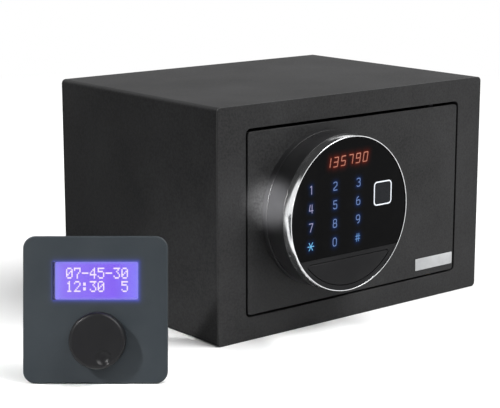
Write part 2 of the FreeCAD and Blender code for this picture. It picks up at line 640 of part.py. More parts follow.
def make_lock_base():
    """The fixed flange, the spindle's bush and the screws from behind the door."""
    here = {"x": "head_x", "y": HEAD_Z}
    base = Piece("lock_base")
    base.turn((BUSH_RADIUS + " + fit_clear", FACE), ("head_radius", FACE),
              ("head_radius", BASE_FRONT + " - edge_bevel"), ("head_radius - edge_bevel", BASE_FRONT),
              (BUSH_RADIUS + " + fit_clear", BASE_FRONT))
    base.cut("XZ", FACE, FACE + " + base_thick*2/3",
             *at_places("base_screw + fit_clear", BASE_SCREWS), **here)

    bush = Piece("spindle_bush")
    bush.add("XZ", BUSH_END, BASE_FRONT, circle(BUSH_RADIUS), circle("spindle_radius + run_clear"), **here)

    screws = Piece("base_screws")
    screws.add("XZ", DOOR_BACK, FACE + " + base_thick/2", *at_places("base_screw", BASE_SCREWS), **here)
    screws.add("XZ", DOOR_BACK + " - screw_rise", DOOR_BACK, *at_places("screw_head", BASE_SCREWS), **here)


def make_head():
    """The turning head: drum, bright ring, carrier, glass, electronics and key lock."""
    here = {"x": "head_x", "y": HEAD_Z}
    key_place = ("0", "-key_drop")
    lock_radius = "key_radius + key_wall"

    drum = Piece("head_drum")
    drum.turn(("spindle_radius + fit_clear", DRUM_BACK), ("head_radius - edge_bevel", DRUM_BACK),
              ("head_radius", DRUM_BACK + " + edge_bevel"), ("head_radius", DRUM_FRONT),
              ("head_radius - drum_wall", DRUM_FRONT), ("head_radius - drum_wall", DRUM_FLOOR),
              ("spindle_radius + fit_clear", DRUM_FLOOR))
    drum.cut("XZ", DRUM_BACK, DRUM_FLOOR, *at_places("cover_screw + fit_clear", SPINDLE_SCREWS), **here)

    ring = Piece("chrome_ring")
    ring.turn(("head_radius - ring_wall", DRUM_FRONT), ("head_radius", DRUM_FRONT),
              ("head_radius", HEAD_FRONT + " - ring_bevel"), ("head_radius - ring_bevel", HEAD_FRONT),
              ("head_radius - ring_wall", HEAD_FRONT))

    display = box("led_wide", "led_high", "led_x", "led_z")
    display_room = box("led_wide + 2*lay_clear", "led_high + 2*lay_clear", "led_x", "led_z")
    sensor_room = soft_box("sensor_wide + lay_clear", "sensor_wide + lay_clear", "sensor_corner",
                           "sensor_x", "sensor_z")
    sensor_outer = soft_box("sensor_wide", "sensor_wide", "sensor_corner", "sensor_x", "sensor_z")
    sensor_inner = soft_box("sensor_wide - 2*sensor_rim", "sensor_wide - 2*sensor_rim",
                            "sensor_corner - sensor_rim", "sensor_x", "sensor_z")

    carrier = Piece("face_carrier")
    carrier.add("XZ", CARRIER_BACK, GLASS_BACK, circle(FACE_RADIUS), **here)
    carrier.add("XZ", GLASS_BACK, GLASS_FRONT,
                cut_disc(FACE_RADIUS, "glass_chord - lay_clear/2", keep_low=True), **here)
    carrier.cut("XZ", COVER_FLOOR, GLASS_FRONT,
                cover_shape("cover_radius", "cover_chord", "cover_half", "cover_knee"), **here)
    carrier.add("XZ", DRUM_FLOOR, CARRIER_BACK,
                circle(SKIRT_RADIUS), circle(SKIRT_RADIUS + " - skirt_wall"), **here)
    carrier.cut("XZ", CARRIER_BACK, GLASS_FRONT, display_room, sensor_room,
                circle(lock_radius + " + fit_clear", *key_place), **here)

    glass = Piece("touch_glass")
    glass.add("XZ", GLASS_BACK, GLASS_FRONT, cut_disc(FACE_RADIUS, "glass_chord"), **here)
    glass.cut("XZ", GLASS_BACK, GLASS_FRONT, sensor_room, **here)

    board = Piece("touch_board")
    board.add("XZ", CARRIER_BACK + " - board_thick", CARRIER_BACK,
              circle(SKIRT_RADIUS + " - skirt_wall - lay_clear"),
              circle(lock_radius + " + lay_clear", *key_place), **here)

    led = Piece("led_display")
    led.add("XZ", CARRIER_BACK, GLASS_BACK, display, **here)

    rim = Piece("sensor_frame")
    rim.add("XZ", CARRIER_BACK, GLASS_FRONT, sensor_outer, sensor_inner, **here)
    sensor = Piece("fingerprint_sensor")
    window = "sensor_wide - 2*sensor_rim - 2*fit_clear"
    sensor.add("XZ", CARRIER_BACK, GLASS_FRONT + " - sensor_recess",
               soft_box(window, window, "sensor_corner - sensor_rim", "sensor_x", "sensor_z"), **here)

    housing = Piece("key_lock_housing")
    housing.add("XZ", DRUM_FLOOR, COVER_FLOOR, circle(lock_radius, *key_place), **here)
    housing.cut("XZ", DRUM_FLOOR + " + key_floor", COVER_FLOOR,
                circle("key_radius + run_clear", *key_place), **here)

    plug = Piece("key_cylinder")
    plug_front = COVER_FLOOR + " - lay_clear"
    plug.add("XZ", DRUM_FLOOR + " + key_floor + lay_clear", plug_front,
             circle("key_radius", *key_place), **here)
    plug.cut("XZ", plug_front + " - key_slot_deep", plug_front,
             box("key_slot_wide", "key_slot_high", *key_place), **here)

    cover = Piece("key_cover")
    cover.add("XZ", COVER_FLOOR + " + lay_clear", GLASS_FRONT,
              cover_shape("cover_radius - lay_clear", "cover_chord - lay_clear", "cover_half - lay_clear",
                          "cover_knee - lay_clear"), **here)


def make_spindle():
    """Spindle, its screws and clip, and the cam with its pin behind the door."""
    here = {"x": "head_x", "y": HEAD_Z}
    spindle = Piece("head_spindle")
    spindle.add("XZ", CAM_BACK, CAM_FRONT, circle("spindle_tail"), **here)
    spindle.add("XZ", CAM_FRONT, FLANGE_FRONT, circle("spindle_radius"), **here)
    spindle.add("XZ", DRUM_FLOOR, FLANGE_FRONT, circle("spindle_flange"), **here)
    spindle.cut("XZ", DRUM_FLOOR, FLANGE_FRONT,
                *at_places("cover_screw + fit_clear", SPINDLE_SCREWS), **here)

    screws = Piece("spindle_screws")
    screws.add("XZ", DRUM_BACK + " + lay_clear", FLANGE_FRONT,
               *at_places("cover_screw", SPINDLE_SCREWS), **here)
    screws.add("XZ", FLANGE_FRONT, FLANGE_FRONT + " + screw_rise",
               *at_places("screw_head", SPINDLE_SCREWS), **here)

    clip = Piece("spindle_clip")
    clip.add("XZ", CLIP_FRONT + " - clip_thick", CLIP_FRONT, circle("spindle_radius + clip_wide"),
             circle("spindle_radius + fit_clear"), **here)

    cam = Piece("drive_cam")
    cam.add("XZ", CAM_BACK, CAM_FRONT, circle("cam_radius"), circle("spindle_tail + fit_clear"),
            circle("cam_pin_radius + fit_clear", CRANK_SIDE, CRANK_SIDE), **here)
    pin = Piece("cam_pin")
    pin.add("XZ", PLATE_BACK + " - cam_pin_tail", CAM_FRONT,
            circle("cam_pin_radius", CRANK_SIDE, CRANK_SIDE), **here)


def make_bolt_work():
    """Bolts, their carriage with its cam slot, and the guides and studs that carry them."""
    bolt_places = [BOLT_Z + " + bolt_pitch/2", BOLT_Z + " - bolt_pitch/2"]
    bolts = Piece("lock_bolts")
    for height in bolt_places:
        bolts.add("YZ", BOLT_TIP, BAR_LEFT, circle("bolt_radius", "-" + BOLT_LEVEL, height))
        bolts.cut("YZ", BAR_LEFT + " - tongue_deep", BAR_LEFT,
                  box("carriage_thick + 2*fit_clear", "tongue_high + 2*fit_clear",
                      "-" + BOLT_LEVEL, height))
    tip_edge = number(BOLT_TIP)
    bolts.bevel("Chamfer", "bolt_radius/8",
                lambda edge: near(edge.BoundBox.XMin, tip_edge) and near(edge.BoundBox.XMax, tip_edge))

    carriage = Piece("bolt_carriage")
    bar_x = "(%s + bar_wide/2)" % BAR_LEFT
    carriage.add("XZ", PLATE_BACK, PLATE_FRONT,
                 box("bar_wide", "bolt_pitch + 2*bar_over", bar_x, BOLT_Z))
    carriage.add("XZ", PLATE_BACK, PLATE_FRONT,
                 outline((bar_x, ARM_TOP + " - arm_high"), (ARM_RIGHT, ARM_TOP + " - arm_high"),
                         (ARM_RIGHT, ARM_TOP), (bar_x, ARM_TOP)))
    for height in bolt_places:
        tongue = box("tongue_deep + bar_wide", "tongue_high",
                     BAR_LEFT + " + (bar_wide - tongue_deep)/2", height)
        carriage.add("XZ", PLATE_BACK, PLATE_FRONT, tongue)
    carriage.cut("XZ", PLATE_BACK, PLATE_FRONT,
                 slot("%s - %s" % (SLOT_TOP, SLOT_LOW), "cam_pin_radius + slot_clear", SLOT_X,
                      "(%s + %s)/2" % (SLOT_TOP, SLOT_LOW), upright=True))
    stud_places = [BOLT_Z + " + stud_pitch/2", BOLT_Z + " - stud_pitch/2"]
    for height in stud_places:
        carriage.cut("XZ", PLATE_BACK, PLATE_FRONT,
                     slot("bolt_travel + 2*stud_radius + 2*stud_clear", "stud_radius + stud_clear",
                          STUD_X + " + bolt_travel/2", height))

    studs = Piece("carriage_studs")
    for height in stud_places:
        studs.add("XZ", PLATE_FRONT + " + stud_clear", DOOR_BACK, circle("2*stud_radius", STUD_X, height))
        studs.add("XZ", PLATE_BACK + " - stud_clear", PLATE_FRONT + " + stud_clear",
                  circle("stud_radius", STUD_X, height))
        studs.add("XZ", PLATE_BACK + " - stud_clear - stud_head", PLATE_BACK + " - stud_clear",
                  circle("2*stud_radius", STUD_X, height))

    guides = Piece("bolt_guides")
    guide_left = "(%s - guide_long/2)" % GUIDE_X
    for height in bolt_places:
        rear = "-" + BOLT_LEVEL + " + bolt_radius + guide_wall"
        low = "%s - guide_half" % height
        high = "%s + guide_half" % height
        guides.add("YZ", guide_left, guide_left + " + guide_long",
                   outline(("-" + DOOR_BACK, low), (rear, low), (rear, high), ("-" + DOOR_BACK, high)),
                   circle("bolt_radius + run_clear", "-" + BOLT_LEVEL, height))


def make_solenoid():
    """Solenoid frame, coil, plunger with its collar, and the return spring."""
    axis = (PLUNGER_X, "-" + BOLT_LEVEL)
    high = "(%s + coil_high)" % COIL_LOW
    frame = Piece("solenoid_frame")
    left = PLUNGER_X + " - coil_wide/2"
    right = PLUNGER_X + " + coil_wide/2"
    rear = "coil_wide/2 - " + BOLT_LEVEL
    frame.add("XY", COIL_LOW, high,
              outline((left, "-" + DOOR_BACK), (right, "-" + DOOR_BACK), (right, rear), (left, rear)))
    frame.cut("XY", COIL_LOW + " + coil_sheet", high + " - coil_sheet",
              box("coil_wide + 2*coil_sheet", "2*coil_radius + 2*lay_clear", *axis))
    frame.cut("XY", COIL_LOW, COIL_LOW + " + coil_sheet",
              circle("plunger_radius + run_clear", *axis))

    coil = Piece("solenoid_coil")
    coil.add("XY", COIL_LOW + " + coil_sheet", high + " - coil_sheet",
             circle("coil_radius", *axis))
    coil.cut("XY", COIL_LOW + " + coil_sheet", high + " - 2*coil_sheet",
             circle("plunger_radius + run_clear", *axis))

    tip = "(%s + plunger_rest)" % ARM_TOP
    collar_low = "(%s + plunger_rest + plunger_nose)" % ARM_TOP
    plunger = Piece("solenoid_plunger")
    plunger.add("XY", tip, high + " - 2*coil_sheet - plunger_travel - plunger_spare",
                circle("plunger_radius", *axis))
    plunger.add("XY", collar_low, collar_low + " + collar_thick",
                circle("collar_radius", *axis))

    make_spring(collar_low + " + collar_thick")


def make_spring(low):
    """A wire coiled about the plunger, from its collar up to the frame, made of tilted half turns."""
    wire = number("spring_wire")
    coil = number("plunger_radius + 3*spring_wire")
    halves = round(2 * number("spring_turns"))
    rise = (number("%s - (%s) - 2*spring_wire" % (COIL_LOW, low))) / halves
    turns = []
    for k in range(halves):
        side = 1 if k % 2 == 0 else -1
        start = FreeCAD.Vector(side * coil, 0, k * rise)
        centre = FreeCAD.Vector(0, 0, (k + 0.5) * rise)
        axis = FreeCAD.Vector(side * rise / 2, 0, coil)
        section = Part.Face(Part.Wire([Part.makeCircle(wire, start, FreeCAD.Vector(0, 1, 0))]))
        turns.append(section.revolve(centre, axis, 180))
    spring = doc.addObject("Part::Feature", "plunger_spring")
    spring.Label = "plunger_spring"
    spring.Shape = turns[0].fuse(turns[1:])
    place = FreeCAD.Vector(number(PLUNGER_X), -number(BOLT_LEVEL), number(low) + wire)
    spring.Placement = FreeCAD.Placement(place, FreeCAD.Rotation())
    PIECES.append(spring)


def make_inner_cover():
    """Sheet pan over the works, with its posts and screws."""
    post_left = "(pan_wall + post_inset + post_radius - pan_left)"
    post_right = "(pan_right - pan_wall - post_inset - post_radius)"
    post_rise = "(pan_high/2 - pan_wall - post_inset - post_radius)"
    corners = [(x, "%s %s %s" % (MID_Z, side, post_rise)) for x in (post_left, post_right) for side in "+-"]

    pan = Piece("inner_cover")
    pan.add("XZ", PAN_LEVEL, DOOR_BACK, soft_box(PAN_WIDE, "pan_high", "pan_corner", PAN_X, MID_Z))
    pan.cut("XZ", PAN_INSIDE, DOOR_BACK,
            soft_box(PAN_WIDE + " - 2*pan_wall", "pan_high - 2*pan_wall",
                     "pan_corner - pan_wall", PAN_X, MID_Z))
    pan.cut("YZ", "-pan_left", "pan_wall - pan_left",
            circle("bolt_radius + lay_clear", "-" + BOLT_LEVEL, BOLT_Z + " + bolt_pitch/2"),
            circle("bolt_radius + lay_clear", "-" + BOLT_LEVEL, BOLT_Z + " - bolt_pitch/2"))
    pan.cut("XZ", PAN_LEVEL, PAN_INSIDE, box(BOX_WIDE, BOX_HIGH, "cell_x", CELL_Z),
            circle("reset_radius + lay_clear", "reset_x", RESET_Z),
            box("socket_wide + 2*lay_clear", "socket_high + 2*lay_clear", "socket_x", RESET_Z),
            *at_places("cover_screw + fit_clear", corners))

    posts = Piece("cover_posts")
    posts.add("XZ", PAN_INSIDE, DOOR_BACK, *at_places("post_radius", corners))
    posts.cut("XZ", PAN_INSIDE, PAN_INSIDE + " + screw_hole",
              *at_places("cover_screw + fit_clear", corners))

    screws = Piece("cover_screws")
    screws.add("XZ", PAN_LEVEL, PAN_INSIDE + " + screw_bite", *at_places("cover_screw", corners))
    screws.add("XZ", PAN_LEVEL + " - screw_rise", PAN_LEVEL, *at_places("screw_head", corners))


def make_control():
    """Control board on posts, reset switch and button, and the timer's socket."""
    rear = "control_level"
    front = "(control_level + board_thick)"
    inset = "(board_post + board_post_inset)"
    places = [("control_x %s (control_wide/2 - %s)" % (a, inset),
               "%s %s (control_high/2 - %s)" % (CONTROL_Z, b, inset)) for a in "+-" for b in "+-"]
    board = Piece("control_board")
    board.add("XZ", rear, front, box("control_wide", "control_high", "control_x", CONTROL_Z))
    posts = Piece("board_posts")
    posts.add("XZ", front, DOOR_BACK, *at_places("board_post", places))

    switch = Piece("reset_switch")
    switch.add("XZ", rear + " - reset_high", rear,
               box("3*reset_radius", "3*reset_radius", "reset_x", RESET_Z))
    button = Piece("reset_button")
    button.add("XZ", PAN_LEVEL + " - reset_rise", rear + " - reset_high - reset_travel - reset_slack",
               circle("reset_radius", "reset_x", RESET_Z))
    button.add("XZ", PAN_INSIDE + " + reset_slack", PAN_INSIDE + " + reset_slack + reset_collar",
               circle("reset_radius + reset_collar_wide", "reset_x", RESET_Z))

    port = box("port_wide", "port_high", "socket_x", RESET_Z)
    link = Piece("link_socket")
    link.add("XZ", PAN_LEVEL, rear, box("socket_wide", "socket_high", "socket_x", RESET_Z))
    link.cut("XZ", PAN_LEVEL, PAN_LEVEL + " + port_deep", port)


def make_battery():
    """Open battery box in the inner cover, four cells, contacts and the lift-off cover."""
    walls = Piece("battery_box")
    walls.add("XZ", PAN_LEVEL, BOX_FRONT,
              box(BOX_WIDE + " - 2*fit_clear", BOX_HIGH + " - 2*fit_clear", "cell_x", CELL_Z))
    walls.cut("XZ", PAN_LEVEL, BOX_FRONT + " - box_wall",
              box(BOX_WIDE + " - 2*box_wall", BOX_HIGH + " - 2*box_wall", "cell_x", CELL_Z))

    count = round(number("cell_count"))
    rows = ["%s + (%d - (cell_count - 1)/2)*cell_pitch" % (CELL_Z, k) for k in range(count)]
    batteries = Piece("batteries")
    contacts = Piece("battery_contacts")
    for height in rows:
        batteries.add("YZ", "cell_x - cell_long/2", "cell_x + cell_long/2 - cell_nub",
                      circle("cell_radius", "-" + CELL_LEVEL, height))
        batteries.add("YZ", "cell_x + cell_long/2 - cell_nub", "cell_x + cell_long/2",
                      circle("cell_radius/3", "-" + CELL_LEVEL, height))
        for side in ("-", "+"):
            outer = "(cell_x %s (cell_long/2 + contact_room))" % side
            inner = "(cell_x %s (cell_long/2 + contact_room - contact_thick))" % side
            ends = (outer, inner) if side == "-" else (inner, outer)
            contacts.add("YZ", *ends, box("contact_wide", "contact_wide", "-" + CELL_LEVEL, height))

    lid = Piece("battery_cover")
    lid.add("XZ", PAN_LEVEL, PAN_LEVEL + " + lid_thick",
            box(BOX_WIDE + " - 2*box_wall - 2*lay_clear", BOX_HIGH + " - 2*box_wall - 2*lay_clear",
                "cell_x", CELL_Z))


def make_timer():
    """Timer control, drawn upright with its face at level 0. It then leans back on its housing's edge."""
    before = len(PIECES)
    window_room = box("window_wide", "window_high", "window_x", "window_z")
    middle = "timer_high/2"
    shell_wide = "(timer_wide - 2*timer_step)"
    shell_high = "(timer_high - 2*timer_step)"
    shell_corner = "(timer_corner - timer_step)"
    post_in = "(timer_wall + timer_post_inset + post_radius)"
    screws_at = [("%s(%s/2 - %s)" % (a, shell_wide, post_in),
                  "%s %s (%s/2 - %s)" % (middle, b, shell_high, post_in)) for a in ("", "-") for b in "+-"]
    window_back = "(timer_plate + window_thick)"
    lcd_back = "(timer_plate + window_thick + lcd_thick)"

    front = Piece("timer_front")
    front.add("XZ", "-timer_plate", "0", soft_box("timer_wide", "timer_high", "timer_corner", "0", middle))
    front.cut("XZ", "-timer_plate", "0", window_room,
              circle("shaft_radius + shaft_room", "knob_x", "knob_z"))
    rim = number("timer_wide/2 - timer_corner") - 0.001
    front.bevel("Chamfer", "timer_edge", lambda edge: at_level("0")(edge) and
                max(edge.BoundBox.XMax, -edge.BoundBox.XMin) > rim)

    shell = Piece("timer_housing")
    shell.add("XZ", "-timer_deep", "-timer_plate",
              soft_box(shell_wide, shell_high, shell_corner, "0", middle))
    shell.cut("XZ", "timer_wall - timer_deep", "-timer_plate",
              soft_box(shell_wide + " - 2*timer_wall", shell_high + " - 2*timer_wall",
                       shell_corner + " - timer_wall", "0", middle))
    shell.add("XZ", "timer_wall - timer_deep", "-timer_plate", *at_places("post_radius", screws_at))
    shell.cut("XZ", "-timer_deep", "-timer_plate", *at_places("cover_screw + fit_clear", screws_at))
    shell.cut("XZ", "-timer_deep", "timer_wall - timer_deep",
              box("socket_wide + 2*lay_clear", "socket_high + 2*lay_clear", "0", "timer_high/4"))

    pane = Piece("timer_window")
    pane.add("XZ", "-" + window_back, "-timer_plate",
             box("window_wide + 2*window_lap", "window_high + 2*window_lap", "window_x", "window_z"))

    lcd = Piece("lcd_module")
    lcd.add("XZ", "-" + lcd_back, "-" + window_back,
            box("window_wide + 2*window_lap", "window_high + 2*window_lap", "window_x", "window_z"))

    board = Piece("timer_board")
    board.add("XZ", "-(%s + board_thick)" % lcd_back, "-" + lcd_back,
              box(shell_wide + " - 2*timer_wall - 2*lay_clear",
                  "%s - 2*(%s + post_radius + timer_board_inset)" % (shell_high, post_in), "0", middle))

    encoder_front = "(%s - encoder_deep)" % lcd_back
    encoder = Piece("encoder_body")
    encoder.add("XZ", "-" + lcd_back, "-" + encoder_front,
                box("encoder_wide", "encoder_wide", "knob_x", "knob_z"))
    encoder.cut("XZ", "-(%s - encoder_floor)" % lcd_back, "-" + encoder_front,
                circle("push_disc + run_clear", "knob_x", "knob_z"))
    encoder.add("XZ", "-" + encoder_front, "-timer_plate",
                circle("push_disc + encoder_neck", "knob_x", "knob_z"),
                circle("push_disc + run_clear", "knob_x", "knob_z"))

    plunger_back = "(%s - encoder_floor - push_travel - push_slack)" % lcd_back
    plunger = Piece("encoder_plunger")
    plunger.add("XZ", "-" + plunger_back, "push_thick - " + plunger_back,
                circle("push_disc", "knob_x", "knob_z"))

    shaft = Piece("knob_shaft")
    shaft.add("XZ", "push_thick - " + plunger_back, "knob_high - shaft_sunk",
              circle("shaft_radius", "knob_x", "knob_z"))

    make_knob()

    socket = Piece("timer_socket")
    socket.add("XZ", "-timer_deep", "-(%s + board_thick)" % lcd_back,
               box("socket_wide", "socket_high", "0", "timer_high/4"))
    socket.cut("XZ", "-timer_deep", "port_deep - timer_deep",
               box("port_wide", "port_high", "0", "timer_high/4"))

    screws = Piece("timer_screws")
    screws.add("XZ", "-timer_deep", "-timer_plate", *at_places("cover_screw", screws_at))
    screws.add("XZ", "-timer_deep - screw_rise", "-timer_deep", *at_places("screw_head", screws_at))

    spot = "vector(timer_x; timer_y; timer_plate*sin(%s))" % TIMER_LEAN
    for body in PIECES[before:]:
        bind(body, "Placement", "placement(%s; rotation(timer_yaw; 0; -%s))" % (spot, TIMER_LEAN))


def make_knob():
    """A hollow cap with a round front edge, a hub for the shaft and a finger dimple."""
    knob = Piece("timer_knob")
    front = "(knob_gap + knob_high)"
    inside = front + " - knob_face"
    hub = "shaft_radius + hub_wall"
    knob.turn(("shaft_radius + fit_clear", "knob_gap + hub_inset"), (hub, "knob_gap + hub_inset"),
              (hub, inside), ("knob_radius - knob_skirt", inside), ("knob_radius - knob_skirt", "knob_gap"),
              ("knob_radius", "knob_gap"), ("knob_radius", front), ("0", front),
              ("0", "knob_high - shaft_sunk"), ("shaft_radius + fit_clear", "knob_high - shaft_sunk"),
              x="knob_x", z="knob_z")
    knob.bevel("Fillet", "knob_round", at_level(front))
    ball = knob.body.newObject("PartDesign::SubtractiveSphere", "timer_knob_dimple")
    plane = [part for part in knob.body.Origin.OriginFeatures if part.Role == "XZ_Plane"][0]
    ball.AttachmentSupport = (plane, [""])
    ball.MapMode = "FlatFace"
    bind(ball, "AttachmentOffset.Base.x", "knob_x + dimple_x")
    bind(ball, "AttachmentOffset.Base.y", "knob_z + dimple_z")
    bind(ball, "AttachmentOffset.Base.z", front + " + dimple_ball - dimple_deep")
    bind(ball, "Radius", "dimple_ball")
    CUTS.append(ball)


def check_all():
    """Stop if any object failed, any shape is broken or any cut took nothing away."""
    for made in doc.Objects:
        if "Invalid" in made.State or "Error" in made.State:
            raise SystemExit("failed object: " + made.Name)
    for piece in PIECES:
        if piece.Shape.isNull() or not piece.Shape.isValid():
            raise SystemExit("broken shape: " + piece.Label)
    for made in CUTS:
        if made.Shape.Volume > made.BaseFeature.Shape.Volume - 0.01:
            raise SystemExit("this cut takes nothing away: " + made.Name)


make_cabinet()
make_door()
make_lock_base()
make_head()
make_spindle()
make_bolt_work()
make_solenoid()
make_inner_cover()
make_control()
make_battery()
make_timer()
doc.recompute()
check_all()

os.makedirs("parts", exist_ok=True)
for piece in PIECES:
    piece.Shape.exportStep("parts/%s.step" % piece.Label)
    print(piece.Label, len(piece.Shape.Solids), round(piece.Shape.Volume, 1))
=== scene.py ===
import json
import math

import bmesh
import bpy
import numpy as np
from mathutils import Euler, Matrix, Vector


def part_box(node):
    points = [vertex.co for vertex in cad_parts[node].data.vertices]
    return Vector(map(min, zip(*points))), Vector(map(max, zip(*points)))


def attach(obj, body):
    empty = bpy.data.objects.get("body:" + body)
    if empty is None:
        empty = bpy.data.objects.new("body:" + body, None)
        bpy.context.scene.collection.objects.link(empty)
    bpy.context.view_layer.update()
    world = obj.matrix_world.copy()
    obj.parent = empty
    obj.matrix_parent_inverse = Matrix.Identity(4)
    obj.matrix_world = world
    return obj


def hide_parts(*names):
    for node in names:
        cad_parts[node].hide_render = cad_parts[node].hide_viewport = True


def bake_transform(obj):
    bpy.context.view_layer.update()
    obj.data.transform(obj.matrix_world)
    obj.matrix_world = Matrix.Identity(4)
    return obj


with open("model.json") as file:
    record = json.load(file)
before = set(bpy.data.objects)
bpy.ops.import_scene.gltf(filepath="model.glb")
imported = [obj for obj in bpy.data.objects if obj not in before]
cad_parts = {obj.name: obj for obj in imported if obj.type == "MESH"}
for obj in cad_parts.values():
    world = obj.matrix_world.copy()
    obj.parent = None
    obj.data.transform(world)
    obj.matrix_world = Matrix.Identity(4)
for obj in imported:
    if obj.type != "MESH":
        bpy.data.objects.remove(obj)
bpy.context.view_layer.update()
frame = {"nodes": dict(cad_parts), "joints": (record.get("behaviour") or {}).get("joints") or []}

# ------------------------------------------------------------
# The studio: a wide white floor, a pale low wall of light under a dark ceiling, a high soft sun,
# two soft boxes, and two narrow soft lamps on the left for the lock head's side and the timer. The
# camera stands to the left of the door and a little above the cabinet.

MM = 0.001
RENDER_WIDE = 500
FOCAL_PIXELS = 1535.9
SENSOR = 36.0
CAMERA_PLACE = Vector((-906.8, -1071.7, 384.2)) * MM
CAMERA_ANGLES = Euler((math.radians(90 - 12.17), 0, math.radians(-39.39)))
FLOOR_SIDE = 24.0
FLOOR_NEAR = 0.9          # how far from the object the floor starts to fade, and is plain white
FLOOR_FAR = 1.6
FLOOR_SEEN = 0.98         # how white it is to the eye, and to the light that it sends back
FLOOR_SENT = 0.35
SUN_STRENGTH = 2.45
SUN_TILT = (math.radians(23), math.radians(20), 0)
SUN_SPREAD = math.radians(40)
SKY_TO_SURFACES = 0.22    # how much of the wall's light falls on matt surfaces
SKY_LOW_WHITE = 0.60      # sine of the elevation up to which the wall of light is white
SKY_HIGH_DARK = 0.72      # and from which the ceiling is dark
CEILING = 0.05
WHITE = (1, 1, 1, 1)


def put_in_scene(name, data):
    """A new object with the given data."""
    added = bpy.data.objects.new(name, data)
    bpy.context.scene.collection.objects.link(added)
    return added


def make_camera():
    """The camera, tilted down from the level and turned about the upright."""
    lens = bpy.data.cameras.new("studio_camera")
    lens.sensor_width = SENSOR
    lens.lens = FOCAL_PIXELS / RENDER_WIDE * SENSOR
    lens.clip_end = 60
    camera = put_in_scene("studio_camera", lens)
    camera.matrix_world = Matrix.LocRotScale(CAMERA_PLACE, CAMERA_ANGLES, None)
    bpy.context.scene.camera = camera


def hang_lamp(name, kind, place, aim, power):
    """A lamp at a place, turned to a point. Gives its light and how far off the point is."""
    light = bpy.data.lights.new(name, kind)
    light.energy = power
    line = Vector(aim) - Vector(place)
    turn = line.to_track_quat("-Z", "Y")
    put_in_scene(name, light).matrix_world = Matrix.LocRotScale(Vector(place), turn, None)
    return light, line.length


def add_soft_box(name, place, aim, side, power):
    """A soft square lamp. Metres and watts."""
    light, _ = hang_lamp(name, "AREA", place, aim, power)
    light.shape = "SQUARE"
    light.size = side


def add_soft_spot(name, place, aim, across, radius, power):
    """A narrow lamp with a soft edge that lights a patch of a given width across."""
    light, far = hang_lamp(name, "SPOT", place, aim, power)
    light.spot_size = 2 * math.atan(across / 2 / far)
    light.spot_blend = 1.0
    light.shadow_soft_size = radius


def empty_nodes(owner):
    """An emptied node tree, as a function that adds a node with its inputs and settings to it."""
    owner.use_nodes = True
    tree = owner.node_tree
    tree.nodes.clear()

    def node(kind, inputs=(), **settings):
        added = tree.nodes.new("ShaderNode" + kind)
        for key, value in settings.items():
            setattr(added, key, value)
        for socket, value in dict(inputs).items():
            if isinstance(value, bpy.types.NodeSocket):
                tree.links.new(value, added.inputs[socket])
            else:
                added.inputs[socket].default_value = value
        return added

    return node


def larger(node, one, other):
    """The larger of two numbers."""
    return node("Math", {0: one, 1: other}, operation="MAXIMUM").outputs[0]


def ramp(node, value, start, end):
    """A number that goes evenly from 0 to 1 while a value goes from start to end."""
    return node("MapRange", {"Value": value, "From Min": start, "From Max": end}).outputs[0]


def make_floor():
    """The floor is white to the eye and in reflections, and greyer to the light that it sends back.

    Far from the object, where no lamp reaches it, it fades into plain white."""
    made = bpy.data.materials.new("studio_floor")
    node = empty_nodes(made)
    path = node("LightPath")
    seen = larger(node, larger(node, path.outputs["Is Camera Ray"], path.outputs["Is Glossy Ray"]),
                  path.outputs["Is Transmission Ray"])
    tone = node("Mix", {0: seen, 2: FLOOR_SENT, 3: FLOOR_SEEN})
    away = node("VectorMath", {0: node("TexCoord").outputs["Object"]}, operation="LENGTH")
    far = ramp(node, away.outputs["Value"], FLOOR_NEAR, FLOOR_FAR)
    plain = node("Math", {0: far, 1: seen}, operation="MULTIPLY")
    lit = node("BsdfDiffuse", {"Color": tone.outputs[0]})
    white = node("Emission", {"Color": WHITE, "Strength": 1.0})
    ground = node("MixShader", {0: plain.outputs[0], 1: lit.outputs[0], 2: white.outputs[0]})
    node("OutputMaterial", {"Surface": ground.outputs[0]})
    mesh = bpy.data.meshes.new("studio_floor")
    half = FLOOR_SIDE / 2
    mesh.from_pydata([(-half, -half, 0), (half, -half, 0), (half, half, 0), (-half, half, 0)], [], [(0, 1, 2, 3)])
    mesh.materials.append(made)
    put_in_scene("studio_floor", mesh)


def make_sky():
    """White to the camera. Reflections see white up to a low height and a dark ceiling above it."""
    world = bpy.data.worlds.new("studio_sky")
    bpy.context.scene.world = world
    node = empty_nodes(world)
    height = node("SeparateXYZ", {0: node("TexCoord").outputs["Generated"]}).outputs["Z"]
    wall = node("MapRange", {"Value": height, "From Min": SKY_LOW_WHITE, "From Max": SKY_HIGH_DARK,
                             "To Min": 1, "To Max": CEILING}, interpolation_type="SMOOTHSTEP")
    path = node("LightPath")
    mirrored = larger(node, path.outputs["Is Glossy Ray"], path.outputs["Is Transmission Ray"])
    strength = node("Mix", {0: mirrored, 2: SKY_TO_SURFACES, 3: wall.outputs[0]})
    sky = node("Background", {"Color": WHITE, "Strength": strength.outputs[0]})
    white = node("Background", {"Color": WHITE})
    both = node("MixShader", {0: path.outputs["Is Camera Ray"], 1: sky.outputs[0], 2: white.outputs[0]})
    node("OutputWorld", {"Surface": both.outputs[0]})


def make_sun():
    """A high, wide, soft sun in front of the door."""
    light = bpy.data.lights.new("studio_sun", "SUN")
    light.energy = SUN_STRENGTH
    light.angle = SUN_SPREAD
    put_in_scene("studio_sun", light).rotation_euler = SUN_TILT


